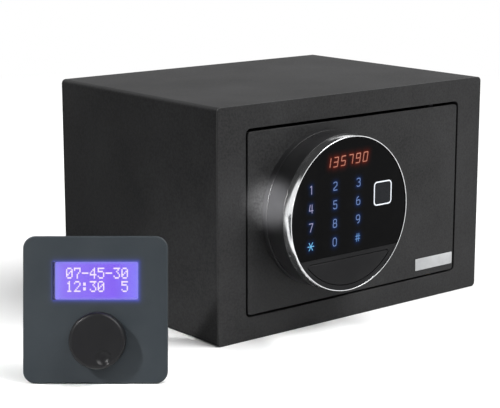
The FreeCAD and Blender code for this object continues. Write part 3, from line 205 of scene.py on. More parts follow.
make_camera()
make_floor()
make_sky()
make_sun()
add_soft_box("front_box", place=(1.2, -2.0, 2.1), aim=(0, 0, 0.1), side=1.4, power=36)
add_soft_box("back_box", place=(-0.5, 2.3, 1.9), aim=(-0.3, 0.9, 0), side=1.2, power=32)
add_soft_spot("head_spot", place=(-0.93, -0.78, 0.42), aim=(-0.108, -0.128, 0.118), across=0.046,
              radius=0.007, power=520)
add_soft_spot("timer_spot", place=(-1.39, -0.12, 1.06), aim=(-0.278, -0.118, 0.056), across=0.20,
              radius=0.12, power=230)
bpy.context.scene.view_settings.view_transform = "Standard"

# ------------------------------------------------------------
# The cabinet: 2 mm steel sheet, folded to a wrap with round bends, a front frame whose lip is
# turned in round the doorway and a welded back. All of it is baked in black powder coat, and two
# brass bushes in the lip carry the door's pins.

EASE = 0.5 * MM           # rounding of a sheet's cut edge under the coat
EASE_FROM = math.radians(40)
FLAT_WITHIN = math.radians(0.3)
SAME_PLACE = 1e-6


def merged_copy(node_name):
    """A node's mesh with its loose triangles merged and its flat faces made whole."""
    shape = bmesh.new()
    shape.from_mesh(frame["nodes"][node_name].data)
    bmesh.ops.remove_doubles(shape, verts=shape.verts, dist=SAME_PLACE)
    bmesh.ops.dissolve_limit(shape, angle_limit=FLAT_WITHIN, verts=shape.verts, edges=shape.edges)
    mesh = bpy.data.meshes.new(node_name + "_copy")
    shape.to_mesh(mesh)
    shape.free()
    for label in ("custom_normal", "sharp_face", "sharp_edge"):
        if label in mesh.attributes:
            mesh.attributes.remove(mesh.attributes[label])
    mesh.materials.clear()
    return mesh


def hang_on(piece, body, slot, material, *stands_for):
    """Give a piece its finish, its body and the nodes that it stands for. The slot is not used."""
    piece.data.materials.clear()
    piece.data.materials.append(material)
    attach(piece, body)
    if stands_for:
        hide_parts(*stands_for)
    return piece


def eased_sheet(node_name, body, slot, material, width=EASE):
    """A part as cut and coated: the node's own shape with its sharp edges rounded by width."""
    mesh = merged_copy(node_name)
    mesh.shade_smooth()
    piece = put_in_scene(node_name + "_eased", mesh)
    ease = piece.modifiers.new("ease", "BEVEL")
    ease.width = width
    ease.segments = 3
    ease.limit_method = "ANGLE"
    ease.angle_limit = EASE_FROM
    ease.use_clamp_overlap = False
    ease.harden_normals = True
    return hang_on(piece, body, slot, material, node_name)


def new_material(name):
    """A new material: its node function, its object's places and the function that finishes it."""
    made = bpy.data.materials.new(name)
    node = empty_nodes(made)

    def finish(colour, rough, bump=None, shine=0.5, metal=0.0, lit=None, others=()):
        """Close the tree with its shader. lit is a colour with a strength, others more of its inputs."""
        inputs = {"Base Color": colour, "Roughness": rough, "Specular IOR Level": shine, "Metallic": metal}
        if bump is not None:
            inputs["Normal"] = bump
        if lit is not None:
            inputs.update({"Emission Color": lit[0], "Emission Strength": lit[1]})
        inputs.update(others)
        node("OutputMaterial", {"Surface": node("BsdfPrincipled", inputs).outputs[0]})
        return made

    return node, node("TexCoord").outputs["Object"], finish


def blotches(node, place, scale, detail, low, high):
    """Noise at a scale in cells per metre, stretched so that low becomes 0 and high becomes 1."""
    noise = node("TexNoise", {"Vector": place, "Scale": scale, "Detail": detail, "Roughness": 0.6})
    return ramp(node, noise.outputs["Fac"], low, high)


def between(node, factor, one, other):
    """A colour that goes from one to the other."""
    return node("Mix", {0: factor, 6: one, 7: other}, data_type="RGBA").outputs[2]


def stretched(node, factor, low, high):
    """A number that goes from low to high."""
    return node("MapRange", {"Value": factor, "To Min": low, "To Max": high}).outputs[0]


def raised(node, height, strength, high):
    """A bump of a strength and a height in metres."""
    return node("Bump", {"Height": height, "Strength": strength, "Distance": high}).outputs[0]


def fine_grain(node, place, scale, detail, strength, high, roughness=0.5):
    """A bump of fine noise at a scale in cells per metre."""
    noise = node("TexNoise", {"Vector": place, "Scale": scale, "Detail": detail, "Roughness": roughness})
    return raised(node, noise.outputs["Fac"], strength, high)


def powder_coat(name, thin, thick, rough, shine, peel_high):
    """Baked powder: a fine orange peel with a slow change of tone and gloss over a whole panel."""
    node, place, finish = new_material(name)
    drift = blotches(node, place, 14, 4, 0.3, 0.7)
    fleck = blotches(node, place, 520, 3, 0.36, 0.64)
    both = node("Math", {0: drift, 1: fleck}, operation="ADD")
    tone = node("Math", {0: both.outputs[0], 1: 0.5}, operation="MULTIPLY")
    return finish(between(node, tone.outputs[0], thin, thick), stretched(node, fleck, *rough),
                  fine_grain(node, place, 760, 5, 0.6, peel_high, 0.65), shine)


# One black powder coat in two copies. The wrap's and back's copy is painted light: a paler tone, so that the top
# reads lighter, and less shine, so that the side reads darker. The front frame and door get the darker, glossier
# copy.
cabinet_coat_painted_light = powder_coat("cabinet_coat_painted_light", (0.021, 0.021, 0.0215, 1), (0.049, 0.049, 0.050, 1),
                           (0.50, 0.62), shine=0.03, peel_high=0.16 * MM)
front_coat = powder_coat("front_coat", (0.006, 0.006, 0.0063, 1), (0.039, 0.039, 0.040, 1),
                         (0.44, 0.62), shine=0.22, peel_high=0.34 * MM)
eased_sheet("cabinet_wrap", "cabinet", "cabinet_paint", cabinet_coat_painted_light)
eased_sheet("front_frame", "cabinet", "cabinet_paint", front_coat, 0.4 * MM)
eased_sheet("back_panel", "cabinet", "cabinet_paint", cabinet_coat_painted_light)


def by_glow(node, colour):
    """Light of a colour, as strong as the glow value that a piece holds."""
    glow = node("Attribute", attribute_name="glow").outputs["Fac"]
    return between(node, glow, (0, 0, 0, 1), colour), 1.0


def two_toned(name, cells, one, other, rough, grain=None, glow=None, **more):
    """Two tones whose blotches are also rougher or smoother, with or without a fine grain.

    rough is the lowest and the highest roughness, here and in the finishes made from this one. With
    a glow colour, light of that colour comes from it where a piece holds a glow value."""
    node, place, finish = new_material(name)
    tone = blotches(node, place, *cells)
    bump = fine_grain(node, place, *grain) if grain else None
    lit = by_glow(node, glow) if glow else None
    return finish(between(node, tone, one, other), stretched(node, tone, *rough), bump, lit=lit, **more)


def turned_metal(name, dark, bright, rough):
    """Turned or drawn metal: fine tool lines, a few stains and a slightly uneven shine."""
    return two_toned(name, (90, 5, 0.35, 0.7), bright, dark, rough, (1500, 2, 0.15, 0.05 * MM), metal=1.0)


def finish_nodes(material, *names):
    """Give CAD nodes that keep their own shape a finish."""
    for name in names:
        mesh = frame["nodes"][name].data
        mesh.materials.clear()
        mesh.materials.append(material)


turned_brass = turned_metal("turned_brass", (0.50, 0.33, 0.12, 1), (0.74, 0.56, 0.25, 1), (0.22, 0.42))
finish_nodes(turned_brass, "hinge_bushes")

# ------------------------------------------------------------
# The door: a 4 mm steel plate in the same coat as the cabinet, with welded hinge lugs and blackened
# pins on the right. A thin brushed tag with nothing on it is glued low down on the hinge side.

eased_sheet("door_plate", "door", "door_paint", front_coat, 0.35 * MM)


def plated_steel(name, dark, bright, rough):
    """Zinc plate: pale crystals of two tones with a grey bloom over them."""
    node, place, finish = new_material(name)
    crystal = node("TexVoronoi", {"Vector": place, "Scale": 160, "Randomness": 0.9})
    bloom = blotches(node, place, 60, 5, 0.35, 0.65)
    tone = node("Mix", {0: 0.5, 2: crystal.outputs["Distance"], 3: bloom})
    return finish(between(node, tone.outputs[0], bright, dark), stretched(node, bloom, *rough),
                  fine_grain(node, place, 2200, 2, 0.12, 0.05 * MM), metal=1.0)


zinc = plated_steel("zinc_plate", (0.42, 0.43, 0.45, 1), (0.66, 0.67, 0.69, 1), (0.28, 0.46))
black_oxide = plated_steel("black_oxide", (0.014, 0.014, 0.016, 1), (0.030, 0.030, 0.033, 1), (0.35, 0.52))
eased_sheet("hinge_lugs", "door", "door_paint", front_coat, 0.4 * MM)
finish_nodes(black_oxide, "hinge_pins")
finish_nodes(zinc, "carriage_studs", "cover_posts", "battery_contacts", "spindle_clip",
             "head_spindle", "spindle_screws", "drive_cam", "cam_pin", "base_screws", "solenoid_plunger",
             "knob_shaft")


def corners_of(node_name):
    """A node's lowest and highest corners at rest, as arrays."""
    return [np.array(corner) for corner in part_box(node_name)]


def stacked(*parts):
    """Points put together from their parts, which are stretched to one size."""
    return np.stack(np.broadcast_arrays(*parts), axis=-1)


def rounded_ring(wide, high, corner, inset, steps=9):
    """One ring of a plate's edge, as points across and up.

    Each corner is an arc: its centre lies at the half sizes less the corner's radius, with the
    corner's own signs, and the arc's point is that centre plus the radius times cosine and sine."""
    radius = max(corner - inset, 0.05 * MM)
    reach = np.array([wide / 2 - inset - radius, high / 2 - inset - radius])
    signs = np.array([[1, 1], [-1, 1], [-1, -1], [1, -1]])
    angle = np.radians(90) * (np.arange(4)[:, None] + np.linspace(0, 1, steps)[None, :])
    arcs = stacked(np.cos(angle), np.sin(angle)) * radius
    return (signs[:, None, :] * reach + arcs).reshape(-1, 2)


def quads_of(index):
    """The four-sided faces between neighbours in a grid of point numbers.

    Those of the grid's transpose face the other way."""
    return stacked(index[:-1, :-1], index[:-1, 1:], index[1:, 1:], index[1:, :-1]).reshape(-1, 4)


def mesh_piece(name, points, faces):
    """A smooth piece from whole lists of points and faces."""
    mesh = bpy.data.meshes.new(name)
    mesh.from_pydata(np.reshape(points, (-1, 3)).tolist(), [], faces)
    mesh.shade_smooth()
    return put_in_scene(name, mesh)


def closed_piece(name, points, faces, sharp):
    """A closed piece: doubles merged, faces turned outward, edges sharp above an angle in degrees."""
    piece = mesh_piece(name, points, faces)
    shape = bmesh.new()
    shape.from_mesh(piece.data)
    bmesh.ops.remove_doubles(shape, verts=shape.verts, dist=SAME_PLACE)
    bmesh.ops.dissolve_degenerate(shape, edges=shape.edges, dist=1e-7)
    bmesh.ops.recalc_face_normals(shape, faces=shape.faces)
    shape.to_mesh(piece.data)
    shape.free()
    piece.data.shade_smooth()
    piece.data.set_sharp_from_angle(angle=math.radians(sharp))
    return piece


def skin(name, *stacks, closed=False, sharp=35.0):
    """A surface through rings of points. Each stack is an array of ring, point and place.

    The four-sided face k, n joins points n and n+1 of ring k with the same two of ring k+1. A
    closed section joins its last ring to its first, and an open one gets a flat lid at each end."""
    points, faces, start = [], [], 0
    for rings in stacks:
        count, around = rings.shape[:2]
        index = start + np.arange(count * around).reshape(count, around)
        if closed:
            index = np.concatenate([index, index[:1]])
        else:
            faces += [index[0].tolist(), index[-1].tolist()]
        faces += quads_of(np.concatenate([index, index[:, :1]], axis=1)).tolist()
        points.append(rings.reshape(-1, 3))
        start += count * around
    return closed_piece(name, np.concatenate(points), faces, sharp)


def soft_front(name, low, high, outline, rounding, steps):
    """A plate on a wall that faces -Y, from the level of high to that of low, its front edge rounded.

    outline gives its edge across and up, drawn in by an inset. Along the rounding the ring shrinks
    by rounding times (1 - cosine) while the level rises by rounding times sine."""
    turn = np.linspace(0, np.pi / 2, steps)
    insets = [0.0, *(rounding * (1 - np.cos(turn)))]
    levels = [high[1], *(low[1] + rounding * (1 - np.sin(turn)))]
    return skin(name, np.array([np.insert(outline(inset), 1, level, axis=1)
                                for inset, level in zip(insets, levels)]))


def brushed_tag():
    """Brushed foil: fine lines along the tag, soft clouds and a pale sheen."""
    node, place, finish = new_material("brushed_tag")
    drawn = node("Mapping", {"Vector": place, "Scale": (60, 60, 3800)})
    lines = node("TexNoise", {"Vector": drawn.outputs[0], "Scale": 1, "Detail": 3}).outputs["Fac"]
    cloud = blotches(node, place, 55, 4, 0.35, 0.65)
    return finish(between(node, cloud, (0.52, 0.53, 0.54, 1), (0.64, 0.65, 0.66, 1)),
                  stretched(node, lines, 0.30, 0.50), raised(node, lines, 0.2, 0.04 * MM), metal=0.35)


TAG_CORNER = 1.0 * MM
TAG_ROUND = 0.15 * MM
tag_low, tag_high = corners_of("label_plate")


def tag_outline(inset):
    """The tag's edge, drawn in by inset."""
    wide, _, high = tag_high - tag_low
    return rounded_ring(wide, high, TAG_CORNER, inset) + (tag_low + tag_high)[[0, 2]] / 2


tag = soft_front("label_tag", tag_low, tag_high, tag_outline, TAG_ROUND, 4)
hang_on(tag, "door", "label_silver", brushed_tag(), "label_plate")

# ------------------------------------------------------------
# Behind the door: a folded sheet cover on four posts hides the works. It is coated like the door
# and held by cross-head screws. Nothing but the button, the socket and the battery lid shows.

eased_sheet("inner_cover", "door", "door_paint", front_coat, 0.4 * MM)
SCREW_HEAD = 3.0 * MM     # radius of the head, and how far it stands up
SCREW_RISE = 1.8 * MM
SCREW_SHANK = 1.5 * MM
SCREW_DOME = 2.4          # power that shapes the head: 2 is an ellipse, more is flatter
RECESS_REACH = 1.7 * MM   # the cross: how far an arm reaches, half its width, and the depth
RECESS_HALF = 0.38 * MM
RECESS_DEEP = 1.1 * MM


def unit(vectors):
    """Each vector over its length."""
    return vectors / np.linalg.norm(vectors, axis=-1, keepdims=True)


def cross_head_screws(name, seats, outward, long):
    """Pan-head screws with a cross recess, one on each seat.

    Over the head the height is rise times the square root of 1 - (radius/head)^dome. The cross
    takes its depth off that, sloping in between 1.4 and 0.6 half widths from an arm's middle line
    and fading before the arm's reach. The shank is a plain rod below the seat, ending in a point."""
    radius = SCREW_HEAD * np.concatenate([np.linspace(0.0, 0.97, 16), [1.0]])
    angle = np.radians(np.arange(0, 360, 7.5))
    across = radius[:, None] * np.cos(angle)
    along = radius[:, None] * np.sin(angle)
    dome = SCREW_RISE * np.sqrt(np.clip(1 - (radius / SCREW_HEAD) ** SCREW_DOME, 0, 1))
    nearer = np.minimum(np.abs(across), np.abs(along))
    inside = np.clip((RECESS_HALF * 1.4 - nearer) / (RECESS_HALF * 0.8), 0, 1)
    inside *= np.clip((RECESS_REACH - np.hypot(across, along)) / (0.4 * MM), 0, 1)
    head = stacked(across, along, dome[:, None] - RECESS_DEEP * inside)
    shank_radius = np.array([[SCREW_SHANK], [SCREW_SHANK], [SCREW_SHANK * 0.3], [0.0]])
    shank_height = -np.array([[0.0], [long - 1 * MM], [long - 0.1 * MM], [long]])
    shank = stacked(shank_radius * np.cos(angle), shank_radius * np.sin(angle), shank_height)
    one = np.concatenate([head, shank])
    out = unit(np.array(outward))
    side = unit(np.cross((0, 0, 1), out))
    axes = np.array([side, np.cross(out, side), out])
    return skin(name, *[one @ axes + seat for seat in seats])


screws_low, screws_high = corners_of("cover_screws")
cover_back = corners_of("inner_cover")[1][1]
inner_seats = [np.array([x, cover_back, z])
               for x in (screws_low[0] + SCREW_HEAD, screws_high[0] - SCREW_HEAD)
               for z in (screws_low[2] + SCREW_HEAD, screws_high[2] - SCREW_HEAD)]
inner_screws = cross_head_screws("cover_screws_cross", inner_seats, (0, 1, 0), cover_back - screws_low[1])
hang_on(inner_screws, "door", "steel", zinc, "cover_screws")

# The reset button is moulded red nylon, the link socket is a black moulding with a small port, and
# the lid of the battery box lifts out by its ribs.


def moulded(name, deep, pale, rough, shine, grain=0.05 * MM, glow=None):
    """Moulded plastic: an even fine spark grain, faint flow marks and a few dull patches."""
    return two_toned(name, (38, 3, 0.3, 0.7), deep, pale, rough, (2600, 3, 0.3, grain, 0.6), glow, shine=shine)


red_nylon = moulded("red_nylon", (0.40, 0.016, 0.012, 1), (0.50, 0.025, 0.018, 1), (0.35, 0.5), 0.4)
black_moulding = moulded("black_moulding", (0.010, 0.010, 0.011, 1), (0.017, 0.017, 0.018, 1), (0.42, 0.58), 0.3)
finish_nodes(red_nylon, "reset_button")
finish_nodes(black_moulding, "link_socket", "reset_switch", "battery_box", "encoder_body", "timer_socket")

LID_RIB_PITCH = 4.0 * MM
LID_RIB_HIGH = 0.35 * MM
LID_FIELD_HALF = 14 * MM  # half the ribbed field's width, its half height as a share of the lid's
LID_FIELD_SHARE = 0.32
LID_FADE = 2 * MM


def ribbed_lid():
    """The battery lid: a plate with thumb ribs across the middle of its outer face.

    The outer face is a grid across and up. The ribbed field is sunk by the ribs' height, and the
    ribs rise in it as that height times the square of a sine, less towards the field's ends."""
    low, high = corners_of("battery_cover")
    x, z = np.meshgrid(np.linspace(low[0], high[0], 161), np.linspace(low[2], high[2], 81))
    middle = (low + high) / 2
    half_high = (high[2] - low[2]) * LID_FIELD_SHARE
    field = np.clip((LID_FIELD_HALF - np.abs(x - middle[0])) / LID_FADE, 0, 1)
    field = field * np.clip((half_high - np.abs(z - middle[2])) / LID_FADE, 0, 1)
    ribs = np.sin(np.pi * (x - middle[0]) / LID_RIB_PITCH) ** 2
    outer = stacked(x, high[1] - LID_RIB_HIGH * (1 - ribs * field) * (field > 0), z)
    edge = np.array([[low[0], low[1], low[2]], [high[0], low[1], low[2]],
                     [high[0], low[1], high[2]], [low[0], low[1], high[2]]])
    index = np.arange(x.size).reshape(x.shape)
    rim = [index[0, :], index[:, -1], index[-1, ::-1], index[::-1, 0]]
    sides = [[x.size + (k + 1) % 4, x.size + k, *side.tolist()] for k, side in enumerate(rim)]
    faces = [*quads_of(index.T).tolist(), *sides, (x.size + np.arange(4)).tolist()]
    return closed_piece("battery_lid", np.concatenate([outer.reshape(-1, 3), edge]), faces, 30)


hang_on(ribbed_lid(), "battery_cover", "black_plastic", black_moulding, "battery_cover")

# ------------------------------------------------------------
# The works behind the sheet cover: zinc-plated guides, carriage and frame, two hard-chromed bolts
# with turned noses, a wound solenoid coil and its bright return spring.

for work, body in (("bolt_guides", "door"), ("solenoid_frame", "door"), ("bolt_carriage", "bolt_work")):
    eased_sheet(work, body, "steel", zinc, 0.25 * MM)
hard_chrome = turned_metal("hard_chrome", (0.52, 0.53, 0.55, 1), (0.68, 0.69, 0.71, 1), (0.10, 0.22))
finish_nodes(hard_chrome, "lock_bolts")
finish_nodes(turned_brass, "spindle_bush", "board_posts", "key_lock_housing", "key_cylinder")

# The plunger's return spring stands on the plunger's collar and pushes against the coil's frame, so
# it is pressed together when the plunger is drawn in.

SPRING_WIRE = 0.45 * MM
SPRING_TURNS = 4
TURN_STEPS = 48
spring_low, spring_high = corners_of("plunger_spring")


def circle(steps):
    """Angles once round, in equal steps."""
    return np.linspace(0, 2 * np.pi, steps, endpoint=False)


def wound_spring():
    """A round wire wound about the plunger.

    At the winding's angle a and the angle b round the wire, a point lies coil + wire * cos(b) from
    the axis, at a level that climbs evenly with a, plus wire * sin(b)."""
    axis = (spring_low + spring_high) / 2
    coil = (spring_high[0] - spring_low[0]) / 2 - SPRING_WIRE
    a = np.linspace(0, 2 * np.pi * SPRING_TURNS, TURN_STEPS * SPRING_TURNS + 1)[:, None]
    b = circle(14)
    climb = (spring_high[2] - spring_low[2] - 2 * SPRING_WIRE) * a / a[-1]
    away = coil + SPRING_WIRE * np.cos(b)
    level = spring_low[2] + SPRING_WIRE + climb + SPRING_WIRE * np.sin(b)
    return skin("return_spring", stacked(axis[0] + away * np.cos(a), axis[1] + away * np.sin(a), level))


spring = wound_spring()
spring.data.materials.append(zinc)
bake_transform(spring)
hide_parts("plunger_spring")

WIRE_PITCH = 0.55 * MM


def wound_copper():
    """Enamelled wire: rows of turns as a rounded saw along Z, with painted shade in the grooves between them."""
    node, place, finish = new_material("wound_copper")
    turns = node("TexWave", {"Vector": place, "Scale": 0.05 / WIRE_PITCH, "Distortion": 0.3, "Detail": 1},
                 bands_direction="Z").outputs["Fac"]
    stain = blotches(node, place, 120, 4, 0.35, 0.65)
    shade = between(node, turns, (0.16, 0.05, 0.02, 1), (0.62, 0.27, 0.11, 1))
    return finish(between(node, stain, shade, (0.48, 0.20, 0.08, 1)), stretched(node, stain, 0.25, 0.4),
                  raised(node, turns, 0.8, 0.2 * MM), metal=0.7)


finish_nodes(wound_copper(), "solenoid_coil")

# ------------------------------------------------------------
# Two green boards and a round one carry the circuits: glass-fibre laminate with a solder mask, fine
# tracks under it and bright pads. Four cells in printed sleeves lie in the battery box.


def solder_mask():
    """Green mask over copper: tracks as thin bands of a distorted wave, pads as small round spots."""
    node, place, finish = new_material("solder_mask")
    run = node("TexWave", {"Vector": place, "Scale": 70, "Distortion": 6, "Detail": 2}, bands_direction="DIAGONAL")
    track = ramp(node, run.outputs["Fac"], 0.80, 0.86)
    pads = node("TexVoronoi", {"Vector": place, "Scale": 230, "Randomness": 0.25})
    pad = ramp(node, pads.outputs["Distance"], 0.26, 0.20)
    green = between(node, track, (0.010, 0.085, 0.030, 1), (0.030, 0.190, 0.070, 1))
    return finish(between(node, pad, green, (0.60, 0.58, 0.52, 1)), stretched(node, track, 0.32, 0.42),
                  raised(node, track, 0.3, 0.04 * MM), metal=stretched(node, pad, 0.0, 0.8))


finish_nodes(solder_mask(), "control_board", "touch_board", "timer_board")


def colour_bands(node, factor, first, *others, interpolation="LINEAR"):
    """Colours along a factor from 0 to 1, each given with the place where it starts or is whole."""
    bands = node("ValToRGB", {"Fac": factor})
    stops = bands.color_ramp
    stops.interpolation = interpolation
    stops.elements.remove(stops.elements[1])
    stops.elements[0].position, stops.elements[0].color = first
    for at, colour in others:
        stops.elements.new(at).color = colour
    return bands.outputs[0]


def cell_sleeve():
    """A printed sleeve: dark blue with a pale band near the raised pole and bare metal at the ends."""
    low, high = corners_of("batteries")
    node, place, finish = new_material("cell_sleeve")
    along = ramp(node, node("SeparateXYZ", {0: place}).outputs["X"], low[0], high[0])
    bands = colour_bands(node, along, (0.0, (0.55, 0.55, 0.56, 1)), (0.02, (0.02, 0.05, 0.16, 1)),
                         (0.70, (0.62, 0.60, 0.55, 1)), (0.74, (0.03, 0.09, 0.26, 1)),
                         (0.97, (0.60, 0.60, 0.61, 1)), interpolation="CONSTANT")
    scuff = blotches(node, place, 300, 4, 0.4, 0.7)
    worn = between(node, stretched(node, scuff, 0.0, 0.12), bands, (0.5, 0.5, 0.5, 1))
    return finish(worn, stretched(node, scuff, 0.25, 0.42))


finish_nodes(cell_sleeve(), "batteries")

# ------------------------------------------------------------
# The lock head's flange and drum: pressure-cast black housings, turned true and finished in satin
# lacquer. The flange is screwed to the door and the drum turns a hair's breadth in front of it.

SEGMENTS = 256
head_low, head_high = corners_of("chrome_ring")
HEAD_X = (head_low[0] + head_high[0]) / 2
HEAD_Z = (head_low[2] + head_high[2]) / 2
HEAD_RADIUS = (head_high[0] - head_low[0]) / 2
RING_FRONT = -head_low[1]
RING_BACK = -head_high[1]
SPINDLE_HOLE = np.ptp(corners_of("spindle_bush"), axis=0)[0] / 2 + 0.02 * MM
DRUM_HOLE = 6.02 * MM


def filleted(corners, roundings, steps=6):
    """A closed section with its corners made round.

    For a corner of half angle h the arc starts rounding/tan(h) before it. Its centre is on the
    bisector, rounding/sin(h) away, and its points swing between the two touching points."""
    at = np.array(corners, float)
    size = np.maximum(np.array(roundings, float), 1e-7)[:, None]
    ahead = unit(np.roll(at, -1, axis=0) - at)
    behind = unit(np.roll(at, 1, axis=0) - at)
    half = np.arccos(np.clip((ahead * behind).sum(axis=1), -1, 1))[:, None] / 2
    centre = at + unit(ahead + behind) * size / np.sin(half)
    start = at + behind * size / np.tan(half) - centre
    end = at + ahead * size / np.tan(half) - centre
    swing = np.pi - 2 * half
    share = np.linspace(0, 1, steps)[None, :]
    points = (np.sin((1 - share) * swing)[..., None] * start[:, None, :]
              + np.sin(share * swing)[..., None] * end[:, None, :]) / np.sin(swing)[..., None]
    return (centre[:, None, :] + points).reshape(-1, 2)


def revolved(section, steps):
    """Rings about an axis: a radius times cosine and sine of the angle, and the ring's level."""
    angle = circle(steps)
    return stacked(section[:, :1] * np.cos(angle), section[:, :1] * np.sin(angle), section[:, 1:])


def turned(name, corners, roundings, sharp=35.0):
    """A turned part about the head's axis, from a closed section of (radius, level) corners.

    Ring k, point n is the centre plus radius k times cosine and sine of the angle n, at level k in
    front of the cabinet's mid plane."""
    rings = revolved(filleted(corners, roundings), SEGMENTS)
    places = stacked(HEAD_X + rings[..., 0], -rings[..., 2], HEAD_Z + rings[..., 1])
    return skin(name, places, closed=True, sharp=sharp)


# Satin black lacquer on a cast housing has a faint leathery grain and slow changes of gloss.
lacquer = two_toned("satin_lacquer", (26, 3, 0.35, 0.65), (0.017, 0.017, 0.018, 1), (0.024, 0.024, 0.025, 1),
                    (0.26, 0.36), (1400, 3, 0.22, 0.05 * MM, 0.55), shine=0.40)
base_front, base_back = -np.array(corners_of("lock_base"))[:, 1]
flange = turned("head_flange", [(SPINDLE_HOLE, base_back), (HEAD_RADIUS, base_back),
                                (HEAD_RADIUS, base_front), (SPINDLE_HOLE, base_front)],
                [0, 0.2 * MM, 0.25 * MM, 0.3 * MM])
hang_on(flange, "door", "head_black", lacquer, "lock_base")
drum_back = -corners_of("head_drum")[1][1]
DRUM_WALL = 3.0 * MM
drum = turned("head_drum_turned",
              [(DRUM_HOLE, drum_back), (HEAD_RADIUS, drum_back), (HEAD_RADIUS, RING_BACK),
               (HEAD_RADIUS - DRUM_WALL, RING_BACK), (HEAD_RADIUS - DRUM_WALL, drum_back + DRUM_WALL),
               (DRUM_HOLE, drum_back + DRUM_WALL)],
              [0.2 * MM, 0.25 * MM, 0.2 * MM, 0.2 * MM, 0.8 * MM, 0.2 * MM])
hang_on(drum, "lock_head", "head_black", lacquer, "head_drum")

# The bright ring is turned brass, polished and chromed. Its band is turned in two steps that each
# draw in towards the front. It is pressed over the drum's edge and stands proud of the glass.

RING_INSIDE = 1.7 * MM      # the ring's wall where it is pressed over the drum's edge
RING_LIP = 0.3 * MM
RING_DRAW = 1.08 * MM       # how much each step of the band draws in towards its front
STEP_LONG = 0.3 * MM        # and how long the shoulder between the steps is

# Polished chrome is mirror-bright, with hairlines that run round and a breath of haze.
polished_chrome = two_toned("polished_chrome", (70, 4, 0.4, 0.75), (0.84, 0.85, 0.86, 1), (0.76, 0.77, 0.78, 1),
                            (0.11, 0.20), (3000, 2, 0.04, 0.02 * MM), metal=1.0)
ring_step = (RING_FRONT + RING_BACK) / 2
ring = turned("bright_ring",
              [(HEAD_RADIUS - RING_INSIDE, RING_BACK), (HEAD_RADIUS - 0.02 * MM, RING_BACK),
               (HEAD_RADIUS - RING_DRAW, ring_step), (HEAD_RADIUS - 0.05 * MM, ring_step + STEP_LONG),
               (HEAD_RADIUS - RING_DRAW, RING_FRONT), (HEAD_RADIUS - RING_INSIDE, RING_FRONT)],
              [0.1 * MM, 0.2 * MM, 0.12 * MM, 0.25 * MM, RING_LIP, 0.1 * MM], sharp=50.0)
hang_on(ring, "lock_head", "bright_ring", polished_chrome, "chrome_ring")

# ------------------------------------------------------------
# The face: smoked touch glass over the upper part, cut straight below, and a moulded black cover
# under it that pulls off the key plug. Both sit in a black carrier. The places for badges are bare.


def smoked_glass(name, rough, shine, glow=None):
    """Smoked glass: deep black and mirror-smooth, with finger haze in slow clouds."""
    return two_toned(name, (48, 4, 0.45, 0.8), (0.0022, 0.0022, 0.0026, 1), (0.0042, 0.0042, 0.0046, 1),
                     rough, glow=glow, shine=shine)


GLASS_GLOSS = ((0.03, 0.10), 0.04)  # lowest and highest roughness, and shine
smoked = smoked_glass("smoked_touch_glass", *GLASS_GLOSS)
eased_sheet("touch_glass", "lock_head", "black_glass", smoked, 0.22 * MM)
COVER_HALF = 44.2 * MM    # half widths of the cover at its straight top and at its knees
COVER_KNEE = 46.7 * MM
COVER_ROUND = 0.5 * MM
COVER_GAP = 0.3 * MM
cover_low, cover_high = corners_of("key_cover")


def cover_outline(inset):
    """The key cover's edge, drawn in by inset.

    A straight top between two cut corners, then the foot: an arc about the head's centre whose ends
    lie at the knees' width, at the angles whose cosine is that width over the radius."""
    inset = inset + COVER_GAP
    foot = HEAD_Z - cover_low[2] - inset
    end = math.acos((COVER_KNEE - inset) / foot)
    angle = np.linspace(-end, end - math.pi, 90)
    foot_arc = stacked(foot * np.cos(angle), foot * np.sin(angle))
    straight = np.linspace(inset - COVER_HALF, COVER_HALF - inset, 12)
    top_line = stacked(straight, cover_high[2] - HEAD_Z - inset)
    return np.concatenate([top_line, foot_arc]) + [HEAD_X, HEAD_Z]


cover_black = moulded("cover_black", (0.007, 0.007, 0.008, 1), (0.012, 0.012, 0.013, 1), (0.30, 0.42),
                      0.13, 0.03 * MM)
pull_off_cover = soft_front("key_cover_moulded", cover_low, cover_high, cover_outline, COVER_ROUND, 6)
hang_on(pull_off_cover, "key_cover", "black_plastic", cover_black, "key_cover")
finish_nodes(cover_black, "face_carrier")

# The keys are not parts: twelve characters are lit from behind the glass in cold blue. The display
# above them shows slanted seven-bar digits in orange red.

KEY_COLUMNS = np.array([-43.6, -16.9, 9.5]) * MM
KEY_ROWS = np.array([25.8, 10.0, -5.9, -21.9]) * MM
KEY_STROKE = 0.34 * MM
PRINT_LIFT = 0.03 * MM
SQUARENESS = 0.62         # power of cosine and sine in a run round: 1 is an ellipse, less is squarer
glass_front = corners_of("touch_glass")[0][1]


def round_stroke(x, y, rx, ry, start, end):
    """A run round a squarish oval, in degrees.

    It is the centre plus each half axis times the sign and a power of cosine and sine."""
    angle = np.radians(np.linspace(start, end, 2 + int(abs(end - start) / 6)))
    wide, high = np.cos(angle), np.sin(angle)
    return stacked(x + rx * np.sign(wide) * np.abs(wide) ** SQUARENESS,
                   y + ry * np.sign(high) * np.abs(high) ** SQUARENESS) * MM


def straight_stroke(x0, y0, x1, y1):
    """A straight run in short steps from one end to the other."""
    share = np.linspace(0, 1, 2 + int(math.hypot(x1 - x0, y1 - y0) / 0.3))[:, None]
    return (np.array([[x0, y0]]) + share * np.array([[x1 - x0, y1 - y0]])) * MM


